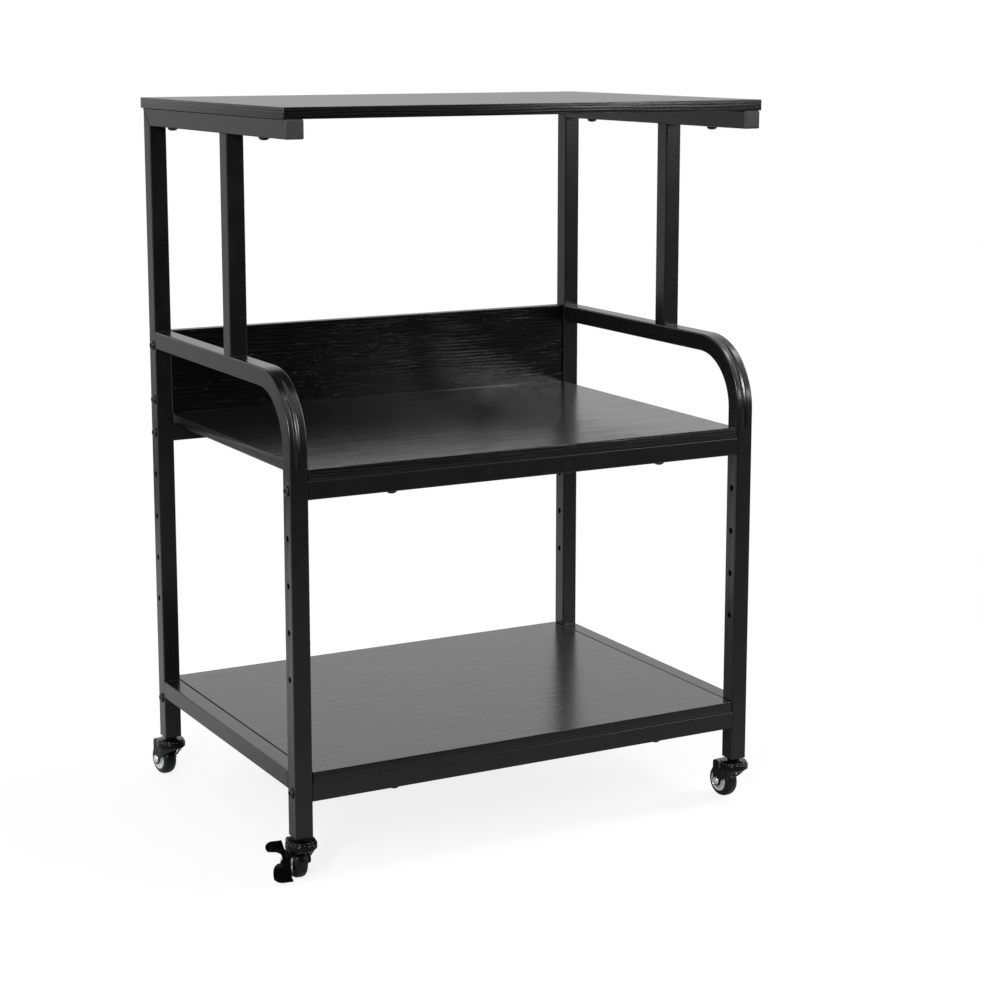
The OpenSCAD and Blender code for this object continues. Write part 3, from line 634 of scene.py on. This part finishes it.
def edge_band(node, name, notch=None):
    """Band round a board: a strip profile carried round a rectangle.

    Each profile point is an inset from the board's side and a height, and its loop is the
    rectangle made smaller by that inset. The outer edges are rounded to BAND_EDGE. Faces at the
    board's ends get the band whose grain runs along Y.
    """
    low, high = node_box(node)
    turn = np.linspace(0, math.pi / 2, 5)
    top = np.stack([BAND_EDGE * (1 - np.cos(turn)), high[2] - BAND_EDGE * (1 - np.sin(turn))], 1)
    bottom = np.stack([BAND_EDGE * (1 - np.sin(turn)), low[2] + BAND_EDGE * (1 - np.cos(turn))], 1)
    profile = np.concatenate([top, [[BAND_T, high[2]], [BAND_T, low[2]]], bottom])
    centre, size = (low + high) / 2, (high - low) / 2
    loops = []
    for inset, height in profile:
        flat = rounded_rectangle(size[0] - inset, size[1] - inset, max(BAND_CORNER_R - inset, 0.1))
        loops.append(np.concatenate([flat + centre[:2], np.full((len(flat), 1), height)], 1))
    made = piece(name, [np.stack(loops)], "edge_band", stands_for=[node], end_to_end=True)
    if notch is not None:
        cut(made, [notch])
    normals = np.empty(len(made.data.polygons) * 3)
    made.data.polygons.foreach_get("normal", normals)
    made.data.materials.append(BAND_ALONG_Y)
    at_ends = (np.abs(normals.reshape(-1, 3)[:, 0]) > 0.8).astype(np.int32)
    made.data.polygons.foreach_set("material_index", at_ends)


def panel_groove():
    """The groove in the middle board where the back panel stands, long enough to cut its band."""
    low, high = node_box("back_panel")
    corners = ((-GROOVE_REACH, low[1]), (GROOVE_REACH, low[1]), (GROOVE_REACH, high[1]),
               (-GROOVE_REACH, high[1]))
    return capped(np.array([[[x, y, z] for x, y in corners]
                                for z in (low[2], low[2] + GROOVE_TALL)]))


def panel_band(node, name):
    """Band on the back panel's upper edge: a flat strip with round long edges, carried along X.

    The profile shrinks to one point at both ends of the strip, which closes it.
    """
    low, high = node_box(node)
    half_d = (high[1] - low[1]) / 2
    turn = np.linspace(0, math.pi / 2, 5)
    right = np.stack([half_d - BAND_EDGE * (1 - np.sin(turn)),
                      high[2] - BAND_EDGE * (1 - np.cos(turn))], 1)
    profile = np.concatenate([[[-half_d, low[2]]], right[::-1] * [-1, 1], right,
                              [[half_d, low[2]]]])
    loops = []
    middle = [0, low[2]]
    for x, grow in ((low[0], 0), (low[0], 1), (high[0], 1), (high[0], 0)):
        flat = middle + (profile - middle) * grow
        loops.append(np.insert(flat + [(low[1] + high[1]) / 2, 0], 0, x, axis=1))
    piece(name, [np.stack(loops)], "edge_band", stands_for=[node])


def bead(start, end, out, up, radius, ripple, pitch):
    """Quarter-round bead from start to end in the corner between directions out and up.

    A loop is the corner itself and a quarter circle of the bead's radius. Along the way w from
    0 to 1 the radius swings by the ripple once a pitch, as a sine, and falls to nothing at both
    ends with the square root of 1 - (2 w - 1)^12.
    """
    start, end, out, up = (np.asarray(v, float) for v in (start, end, out, up))
    length = np.linalg.norm(end - start)
    way = np.linspace(0, 1, max(int(length / pitch * LOOPS_A_PITCH), 12) + 1)
    swell = radius * (1 + ripple * np.sin(2 * math.pi * way * length / pitch))
    swell *= np.sqrt(np.clip(1 - (2 * way - 1) ** 12, 0, 1))
    turn = np.linspace(0, math.pi / 2, 6)
    arc = np.cos(turn)[:, None] * out + np.sin(turn)[:, None] * up
    arc = np.concatenate([np.zeros((1, 3)), arc])
    middle = start + way[:, None] * (end - start)
    return middle[:, None, :] + swell[:, None, None] * arc[None, :, :]


def weld_beads():
    """Weld beads where the tubes of a side frame meet, as quarter-round beads along X.

    The outer and inner sides are ground flush.
    """
    beads = []
    back = node_box("left_back_post")[0][1]
    rail_low, rail_high = node_box("left_bottom_rail")
    top = node_box("left_top_rail")[0][2]
    for side in SIDES:
        low, high = node_box(side + "_short_post")
        x = (low[0] + high[0]) / 2
        for y, out in ((low[1], -1), (high[1], 1)):
            for z, up in ((low[2], 1), (high[2], -1)):
                beads.append(((x, y, z), (0, out, 0), (0, 0, up)))
        arm = node_box(side + "_bow")[1]
        for z, up in ((arm[2], 1), (arm[2] - TUBE, -1)):
            beads.append(((x, back, z), (0, -1, 0), (0, 0, up)))
        for y, out in ((rail_low[1], 1), (rail_high[1], -1)):
            for z, up in ((rail_high[2], 1), (rail_low[2], -1)):
                beads.append(((x, y, z), (0, out, 0), (0, 0, up)))
        beads.append(((x, back, top), (0, -1, 0), (0, 0, -1)))
    run = np.array([WELD_HALF, 0, 0])
    shells = [bead(np.array(at) - run, np.array(at) + run, out, up, WELD_R, WELD_RIPPLE,
                   WELD_PITCH) for at, out, up in beads]
    piece("weld_beads", shells, "powder_coated_steel")


def mitre_shade_lines():
    """Painted shade across the top back corners, where back post and top rail meet at 45 degrees.

    Each is a flat bar on the diagonal of the corner, sunk in the tube and barely proud of it.
    It is drawn about twice as wide as a real seam so that it shows.
    """
    shells = []
    for side in SIDES:
        low, high = node_box(side + "_top_rail")
        across = SEAM_HALF * np.array([0, -1, 1]) / math.sqrt(2)
        for x, face in ((low[0], -1), (high[0], 1)):
            upper = np.array([x, high[1] - SEAM_SHORT, high[2] - SEAM_SHORT])
            lower = upper - (TUBE - 2 * SEAM_SHORT) * np.array([0, 1, 1])
            out = np.array([face * SEAM_PROUD, 0, 0])
            sunk = np.array([-face * SEAM_DEPTH, 0, 0])
            ring = np.array([across + out, -across + out, -across + sunk, across + sunk])
            shells.append(capped(np.stack([upper + ring, lower + ring])))
    made = piece("mitre_shade_lines", shells, "powder_coated_steel")
    # The bars are a near black that paints the shade in the mitre.
    made.data.materials[0] = PAINTED_MITRE_SHADE


def panel_foot_bead():
    """Fine quarter-round bead where the back panel stands on the middle board."""
    low, high = node_box("back_panel")
    board = node_box("middle_board")[1][2]
    start = (low[0] + FOOT_BEAD_SHORT, low[1], board)
    end = (high[0] - FOOT_BEAD_SHORT, low[1], board)
    shell = bead(start, end, (0, -1, 0), (0, 0, 1), FOOT_BEAD_R, 0, FOOT_BEAD_STEP)
    piece("panel_foot_bead", [shell], "edge_band")


def rail_caps():
    """Caps on the front ends of the top rails: a plug in the tube and a head with a soft face.

    Each loop is a rounded square, given by its distance out of the tube's end, its half size and
    its corner radius. The half size falls towards the middle of the slightly crowned face.
    """
    half = TUBE / 2
    plug = half - WALL - CAP_GAP
    in_tube = [(-CAP_PLUG, 0.01, 0.01), (-CAP_PLUG, plug, INSIDE_CORNER_R),
               (0, plug, INSIDE_CORNER_R)]
    rim = [(0, half - 0.15, CAP_CORNER_R), (0.2, half, CAP_CORNER_R), (1.0, half, CAP_CORNER_R),
           (1.45, half - 0.12, CAP_CORNER_R)]
    face = [(1.8, half - 0.5, 1.6), (1.95, half - 1.2, 1.8), (2.0, half - 2.5, 2.0),
            (2.02, 4, 1.5), (2.03, 0.01, 0.01)]
    shells = []
    for side in SIDES:
        low, high = node_box(side + "_top_rail")
        x, z = (low[0] + high[0]) / 2, (low[2] + high[2]) / 2
        loops = []
        for out, size, radius in in_tube + rim + face:
            flat = rounded_square(size, min(radius, size), 6)
            loops.append(np.stack([x + flat[:, 0], np.full(len(flat), low[1] - out),
                                   z + flat[:, 1]], 1))
        shells.append(np.stack(loops))
    piece("moulded_rail_caps", shells, "black_plastic", stands_for=["rail_end_caps"], weld=0.05)


def bolt(length, shank_r, head_h):
    """Round-headed bolt with a hexagon socket, its head along +Z and its shank below.

    Loops run from the middle of the socket's floor over the hexagon, the domed top and the
    rounded rim to the shank's end. The dome falls with the cube of the distance from the axis.
    """
    around = 36
    side = HEAD_SIDE * head_h
    socket, floor = hexagon(SOCKET_AF, around), head_h - SOCKET_DEPTH
    dome = [(share * HEAD_R, side + (head_h - side) * (1 - share ** 3))
            for share in np.linspace(0.52, 0.97, 7)]
    profile = [(0, floor - SOCKET_TIP), (socket * 0.8, floor), (socket, floor),
               (socket, head_h - SOCKET_EDGE), (socket + 0.2, head_h - 0.08), *dome,
               (HEAD_R, side * 0.8), (HEAD_R, HEAD_EDGE), (HEAD_R - 0.2, 0), (shank_r, 0),
               (shank_r, SHANK_CHAMFER - length), (shank_r - SHANK_CHAMFER, -length), (0, -length)]
    return turned(profile, around)


def placed(loops, at, axis):
    """A shape turned so that its +Z follows axis, and moved to a place."""
    axis = np.asarray(axis, float)
    helper = np.array([0, 0, 1.0]) if abs(axis[2]) < 0.9 else np.array([1.0, 0, 0])
    first = np.cross(helper, axis)
    first /= np.linalg.norm(first)
    return loops @ np.stack([first, np.cross(axis, first), axis]) + at


def bolts():
    """Rail bolts and panel screws on the posts' outer sides, and board bolts under the rails."""
    low, high = node_box("rail_bolts")
    left, right = node_box("left_back_post")[0][0], node_box("right_back_post")[1][0]
    front, back = low[1] + HEAD_R, high[1] - HEAD_R
    sides = ((left, -1), (right, 1))
    rail = bolt(TUBE + RAIL_BITE, BOLT_R, HEAD_H)
    shells = [placed(rail, (x, y, z), (s, 0, 0))
              for x, s in sides for y in (front, back) for z in (BOLT_LEVELS[0], BOLT_LEVELS[-1])]
    piece("rail_socket_bolts", shells, "black_bolts", stands_for=["rail_bolts"])
    low, high = node_box("panel_screws")
    screw = bolt(TUBE + SCREW_BITE, SCREW_R, HEAD_H)
    shells = [placed(screw, (x, back, z), (s, 0, 0))
              for x, s in sides for z in (low[2] + HEAD_R, high[2] - HEAD_R)]
    piece("panel_socket_screws", shells, "black_bolts", stands_for=["panel_screws"])
    under = bolt(TUBE + BOARD_BITE, BOLT_R, BOARD_HEAD_H)
    top = node_box("left_top_rail")[0][2]
    spots = [(x, y, top) for x in (left + TUBE / 2, right - TUBE / 2) for y in TOP_BOLTS_Y]
    for rail_node in ("bottom_front_rail", "bottom_back_rail", "middle_front_rail",
                      "middle_back_rail"):
        low, high = node_box(rail_node)
        spots += [(x, (low[1] + high[1]) / 2, low[2]) for x in (-CROSS_BOLT_X, CROSS_BOLT_X)]
    piece("board_socket_bolts", [placed(under, at, (0, 0, -1)) for at in spots], "black_bolts",
          stands_for=["board_bolts"])


# Castor pieces, worked out with the swivel axis on Z and the trail along +X

def castor_place(name):
    """The castor's swivel point and the direction of its trail, from the joints."""
    joints = {joint["name"]: np.array(joint["pos_m"]) / MM for joint in frame["joints"]}
    swivel, wheel = joints[name + "_swivel"], joints[name + "_wheel_spin"]
    trail = wheel[:2] - swivel[:2]
    return swivel[:2], trail / np.linalg.norm(trail)


def to_castor(loops, place):
    """Turns a shape from the castor's own directions to the cart's and moves it there."""
    (x, y), (c, s) = place
    return np.stack([x + c * loops[..., 0] - s * loops[..., 1],
                     y + s * loops[..., 0] + c * loops[..., 1], loops[..., 2]], -1)


def to_axle(loops):
    """Lays a shape turned round Z along the wheel's axle, with its +Z to +Y."""
    return np.stack([TRAIL + loops[..., 0], loops[..., 2], AXLE_Z - loops[..., 1]], -1)


def tyre(name, place):
    """Tyre: its section is a superellipse over the rim, with a fine moulded ring on each side
    and a fine line in the tread on each side.

    Across half width a and depth t: (h / a)^n + ((r - rim) / t)^n = 1 with n = TYRE_POWER. Ring
    and line are bell curves, exp(-x^2), across the section.
    """
    turn = np.linspace(0, math.pi, 61)
    across, out = np.cos(turn), np.sin(turn)
    power = 2 / TYRE_POWER
    h = TYRE_HALF * np.sign(across) * np.abs(across) ** power
    r = RIM_R + (WHEEL_R - RIM_R) * out ** power
    ring = TYRE_RING_H * np.exp(-((r - RIM_R - TYRE_RING_UP) / TYRE_RING_HALF) ** 2)
    ring *= np.sign(across)
    line = -TREAD_LINE_DEEP * np.exp(-((np.abs(h) - TREAD_LINE_AT) / TREAD_LINE_HALF) ** 2)
    seat = [[RIM_R, TYRE_SEAT - TYRE_HALF], [RIM_R, TYRE_HALF - TYRE_SEAT]]
    profile = np.concatenate([np.stack([r + line, h + ring], 1), seat])
    piece(name + "_moulded_tyre", [to_castor(to_axle(turned(profile, 112)), place)],
          "castor_tyre", name + "_wheel", [name + "_tyre"], end_to_end=True)


def wheel_centre(name, place):
    """Zinc wheel centre: hub, dished disc with six pressed ribs, and a bright outer ring.

    The profile's points are radius and distance from the wheel's middle: hub, disc, then ring.
    The ribs raise the disc by the eighth power of the cosine of three times the angle.
    """
    around = 96
    hub = [(3.06, 9.1), (5.3, 9.1), (5.8, 8.9), (6.0, 8.5), (6.0, 5.9)]
    disc = [(6.3, 5.3), (6.9, 5.05), (7.6, 5.0), (8.4, 5.0), (9.2, 5.0), (10.0, 5.05),
            (10.6, 5.3), (10.9, 5.8)]
    ring = [(11.05, 7.9), (11.3, 8.25), (11.8, 8.32), (12.3, 8.2), (12.55, 7.9)]
    one_side = np.array(hub + disc + ring)
    profile = np.concatenate([one_side, one_side[::-1] * [1, -1]])
    loops = turned(profile, around)
    on_disc = np.exp(-((profile[:, 0] - RIB_R) / RIB_LONG) ** 4)
    on_disc = on_disc * (np.abs(profile[:, 1]) < DISC_HALF) * np.sign(profile[:, 1])
    loops[..., 2] += on_disc[:, None] * RIB_H * np.cos(3 * directions(around)) ** 8
    piece(name + "_wheel_centre", [to_castor(to_axle(loops), place)], "zinc_steel",
          name + "_wheel", [name + "_rim"], end_to_end=True, sharp=50)


def top_plate(name, place):
    """Pressed top plate over the race, turned round the swivel axis.

    Its underside has a groove for the balls, half an ellipse across, and its edge droops.
    """
    groove = np.linspace(0, math.pi, 9)
    race = np.stack([RACE_R - RACE_HALF * np.cos(groove), PLATE_LOW + RACE_H * np.sin(groove)], 1)
    edge = [(0.6, 45.8), (0.1, 45.75), (0, 46.1), (0.05, 46.7), (0.4, 47.25), (1.1, 47.6),
            (2.4, 47.85), (4, 47.98)]
    edge = [(PLATE_R - inset, z) for inset, z in edge]
    bore = STEM_R + SLACK
    profile = np.concatenate([[(bore, PLATE_LOW), (8.0, PLATE_LOW)], race, edge,
                              [(8.5, PLATE_TOP), (bore, PLATE_TOP)]])
    piece(name + "_pressed_top_plate", [to_castor(turned(profile, 96), place)],
          "castor_steel", "frame", [name + "_top_plate"], end_to_end=True, sharp=50)


def stem(name, place):
    """Threaded stem with a hexagon collar, and the kingpin with its head under the crown.

    The thread is a cosine ripple of the stem's radius: a ring every THREAD_PITCH above the
    collar. The collar is a round flange and a hexagon whose corners are cut at both ends.
    """
    z = np.linspace(FOOT_Z + 0.2, STEM_TOP - 0.6, 92)
    thread = THREAD_R + THREAD_SWING * np.cos(2 * math.pi * z / THREAD_PITCH)
    shank = STEM_R - SLACK
    profile = [(0, PIN_HEAD_LOW), (PIN_HEAD_R - 0.6, PIN_HEAD_LOW),
               (PIN_HEAD_R, PIN_HEAD_LOW + 0.5), (PIN_HEAD_R, PIN_HEAD_TOP),
               (PIN_R, PIN_HEAD_TOP), (PIN_R, PLATE_LOW), (shank, PLATE_LOW), (shank, FOOT_Z),
               *zip(thread, z), (3.4, STEM_TOP), (0, STEM_TOP)]
    piece(name + "_threaded_stem", [to_castor(turned(profile, 40), place)], "zinc_steel", "frame",
          [name + "_stem"], sharp=60)
    around = 72
    flats, bore = hexagon(COLLAR_AF, around), STEM_R + SLACK
    flange = [(7.1, PLATE_TOP), (7.25, 48.2), (7.25, 48.8), (7.1, 49.0)]
    profile = [(bore, PLATE_TOP), *flange, (np.minimum(flats, 6.9), 49.0), (flats, 49.3),
               (flats, 51.6), (np.minimum(flats, 6.7), FOOT_Z), (bore, FOOT_Z)]
    piece(name + "_hex_collar", [to_castor(turned(profile, around), place)], "castor_steel",
          "frame", end_to_end=True, sharp=25)


def axle_bolt(name, place, braked):
    """Axle bolt with a domed end, a black nut inside, and a cap nut outside a brake lever.

    The dome is a quarter ellipse turned round the axle. The nuts are hexagons whose corners are
    cut by a cone at both ends.
    """
    turn = np.linspace(0, math.pi / 2, 9)
    foot, chamfer = -LEG_OUT - NUT_H, 0.4
    seat = LEVER_OUT + NUT_H if braked else LEG_OUT
    dome = list(zip(DOME_R * np.cos(turn), seat + DOME_H * np.sin(turn)))
    profile = [(0, foot), (AXLE_R - chamfer, foot), (AXLE_R, foot + chamfer), (AXLE_R, seat),
               (DOME_R, seat), *dome[:-1], (0, seat + DOME_H)]
    piece(name + "_axle_bolt", [to_castor(to_axle(turned(profile, 40)), place)], "zinc_steel",
          name + "_swivel", [name + "_axle"])
    nuts = [("_axle_nut", NUT_AF, foot, "castor_steel")]
    if braked:
        nuts.append(("_axle_cap_nut", CAP_NUT_AF, LEVER_OUT, "zinc_steel"))
    around, bore = 72, AXLE_R + SLACK
    for ending, across, low, slot in nuts:
        flats, high = hexagon(across, around), low + NUT_H
        cone = np.minimum(flats, across * 0.53) - 0.1
        profile = [(bore, low), (cone, low), (flats, low + chamfer), (flats, high - chamfer),
                   (cone, high), (bore, high)]
        piece(name + ending, [to_castor(to_axle(turned(profile, around)), place)], slot,
              name + "_swivel", end_to_end=True, sharp=25)


def fork_funnel(name, place, braked):
    """Sloping shoulders of the pressed fork, from under the crown's edge down to its legs.

    Half an ellipse round the swivel axis whose half axes a and b shrink evenly with the depth t
    while it moves back by c: x = c t - a(t) cos(phi), y = b(t) sin(phi), and z falls with t.
    It reaches to t = 1 at its sides and arches over the wheel in front: t ends at
    s + (1 - s) sin(phi)^2. The inner wall is the same with both half axes less the sheet.
    Beside a brake lever it ends higher and stays further forward, clear of the lever.
    """
    foot, back = FUNNEL_BRAKED if braked else FUNNEL_PLAIN
    around, steps = 37, 9
    phi = np.linspace(-math.pi / 2, math.pi / 2, around)[:, None]
    down = np.linspace(0, 1, steps)
    reach = FUNNEL_ARCH + (1 - FUNNEL_ARCH) * np.sin(phi) ** 2
    t = np.concatenate([down, down[::-1]])[None, :] * reach
    sheet = np.repeat([[0, FUNNEL_SHEET]], steps, 1)
    a = FUNNEL_LONG[0] + (FUNNEL_LONG[1] - FUNNEL_LONG[0]) * t - sheet
    b = FUNNEL_WIDE[0] + (FUNNEL_WIDE[1] - FUNNEL_WIDE[0]) * t - sheet
    z = FUNNEL_TOP + (foot - FUNNEL_TOP) * t
    shell = np.stack([back * t - a * np.cos(phi), b * np.sin(phi), z], -1)
    piece(name + "_fork_funnel", [to_castor(capped(shell), place)], "castor_steel",
          name + "_swivel", sharp=50)


def castor(name):
    """All pieces of one castor. The pressed fork and lever are CAD solids with rounded edges,
    and the fork's shoulders and the turned pieces are new."""
    place = castor_place(name)
    stem(name, place)
    top_plate(name, place)
    wheel_centre(name, place)
    tyre(name, place)
    softened(name + "_fork", name + "_pressed_fork", FORK_EDGE, "castor_steel", name + "_swivel")
    braked = name + "_brake_lever" in frame["nodes"]
    fork_funnel(name, place, braked)
    axle_bolt(name, place, braked)
    if braked:
        softened(name + "_brake_lever", name + "_stamped_lever", LEVER_EDGE, "castor_steel",
                 name + "_brake")


# Studio

def studio_world():
    """White to the camera and white above the cart, with a dark stretch in front of it.

    The strength grows smoothly with the height of the direction, and falls as the cosine of its
    angle to DARK_SIDE rises, so that tops reflect white, left sides reflect grey and faces
    turned to the front reflect black.
    """
    world = bpy.data.worlds.new("studio")
    bpy.context.scene.world = world
    world.use_nodes = True
    tree = world.node_tree
    tree.nodes.clear()
    way = add(tree, "ShaderNodeTexCoord").outputs["Generated"]
    flat = add(tree, "ShaderNodeVectorMath", {0: way, 1: DARK_TALL}, operation="MULTIPLY")
    unit = add(tree, "ShaderNodeVectorMath", {0: flat.outputs["Vector"]}, operation="NORMALIZE")
    towards = add(tree, "ShaderNodeVectorMath", {0: unit.outputs["Vector"], 1: DARK_SIDE},
                  operation="DOT_PRODUCT")
    unlit = add(tree, "ShaderNodeMapRange",
                {"Value": towards.outputs["Value"], "From Min": DARK_FROM, "From Max": DARK_FULL,
                 "To Min": 1.0, "To Max": DARK_STRENGTH}, interpolation_type="SMOOTHSTEP")
    height = add(tree, "ShaderNodeSeparateXYZ", {"Vector": way}).outputs["Z"]
    sky = add(tree, "ShaderNodeMapRange",
              {"Value": height, "From Min": LOW_SKY[0], "From Max": HIGH_SKY[0],
               "To Min": LOW_SKY[1], "To Max": HIGH_SKY[1]}, interpolation_type="SMOOTHSTEP")
    strength = add(tree, "ShaderNodeMath", {0: unlit.outputs["Result"], 1: sky.outputs["Result"]},
                   operation="MULTIPLY")
    room = add(tree, "ShaderNodeBackground", {"Color": linear("#ffffff"),
                                              "Strength": strength.outputs["Value"]})
    seen = add(tree, "ShaderNodeBackground", {"Color": linear("#ffffff"), "Strength": 1.0})
    mixed = add(tree, "ShaderNodeMixShader",
                {0: add(tree, "ShaderNodeLightPath").outputs["Is Camera Ray"],
                 1: room.outputs["Background"], 2: seen.outputs["Background"]})
    add(tree, "ShaderNodeOutputWorld", {"Surface": mixed.outputs["Shader"]})


def softbox(name, at, width, height, strength):
    """An area lamp aimed at the middle of the cart, in metres and watts, not seen itself."""
    lamp = bpy.data.lights.new(name, "AREA")
    lamp.shape = "RECTANGLE"
    lamp.size, lamp.size_y, lamp.energy = width, height, strength
    made = bpy.data.objects.new(name, lamp)
    made.location = at
    made.rotation_mode = "QUATERNION"
    aim = Vector(LAMP_AIM) - Vector(at)
    made.rotation_quaternion = aim.to_track_quat("-Z", "Y")
    made.visible_camera = False
    bpy.context.scene.collection.objects.link(made)


def studio_floor():
    """Round matt floor on which the cart stands.

    Its light to the camera is mostly a plain white, which takes over altogether away from the
    cart. The rest is the light that falls on it, so that it joins the white background and
    still shows the cart's shadow. What the cart reflects of it is grey, and darker in front.
    """
    rim = turned([(FLOOR_RADIUS, 0)], FLOOR_STEPS)[0]
    mesh = bpy.data.meshes.new("floor")
    mesh.from_pydata(rim.tolist(), [], [list(range(FLOOR_STEPS))])
    floor = bpy.data.objects.new("floor", mesh)
    bpy.context.scene.collection.objects.link(floor)
    material, tree, surface = new_material("matt_white_floor_paint")
    lit = add(tree, "ShaderNodeBsdfDiffuse", {"Color": linear("#f2f2f2")})
    place = add(tree, "ShaderNodeTexCoord").outputs["Object"]
    forward = add(tree, "ShaderNodeSeparateXYZ", {"Vector": place}).outputs["Y"]
    behind = add(tree, "ShaderNodeMapRange",
                 {"Value": forward, "From Min": FLOOR_DIM_FRONT, "From Max": FLOOR_DIM_BACK})
    grey = two_tones(tree, behind.outputs["Result"], "#767676", "#c8c8c8", 0.0, 1.0)
    dim = add(tree, "ShaderNodeBsdfDiffuse", {"Color": grey})
    away = add(tree, "ShaderNodeVectorMath", {0: place}, operation="LENGTH").outputs["Value"]
    share = add(tree, "ShaderNodeMapRange",
                {"Value": away, "From Min": FLOOR_WHITE_FROM, "From Max": FLOOR_WHITE_TO,
                 "To Min": FLOOR_WHITE, "To Max": 1.0}, interpolation_type="SMOOTHSTEP")
    white = add(tree, "ShaderNodeEmission", {"Color": linear("#ffffff"), "Strength": 1.0})
    shaded = add(tree, "ShaderNodeMixShader", {0: share.outputs["Result"], 1: lit.outputs["BSDF"],
                                               2: white.outputs["Emission"]})
    mixed = add(tree, "ShaderNodeMixShader",
                {0: add(tree, "ShaderNodeLightPath").outputs["Is Camera Ray"],
                 1: dim.outputs["BSDF"], 2: shaded.outputs["Shader"]})
    tree.links.new(mixed.outputs["Shader"], surface)
    mesh.materials.append(material)


def photo_camera():
    """Camera to the left of the cart and a little above its top."""
    camera = bpy.data.objects.new("camera", bpy.data.cameras.new("camera"))
    camera.data.sensor_width = 36.0
    camera.data.lens = CAMERA_LENS
    camera.data.shift_y = CAMERA_SHIFT
    camera.data.clip_end = 50.0
    camera.location = CAMERA_AT
    camera.rotation_euler = (math.radians(90 - CAMERA_PITCH), 0, -math.radians(CAMERA_YAW))
    bpy.context.scene.collection.objects.link(camera)
    bpy.context.scene.camera = camera


photo_camera()
studio_world()
studio_floor()
for lamp in LAMPS:
    softbox(*lamp)
dress_cad_nodes()

for post_side in SIDES:
    bent_bow(post_side + "_bow", post_side + "_bent_bow")
edge_band("top_board_edging", "top_board_band")
edge_band("middle_board_edging", "middle_board_band", panel_groove())
edge_band("bottom_board_edging", "bottom_board_band")
panel_band("back_panel_edging", "back_panel_band")
panel_foot_bead()
weld_beads()
mitre_shade_lines()
rail_caps()
bolts()
for castor_name in CASTORS:
    castor(castor_name)

bpy.context.scene.view_settings.view_transform = "Standard"
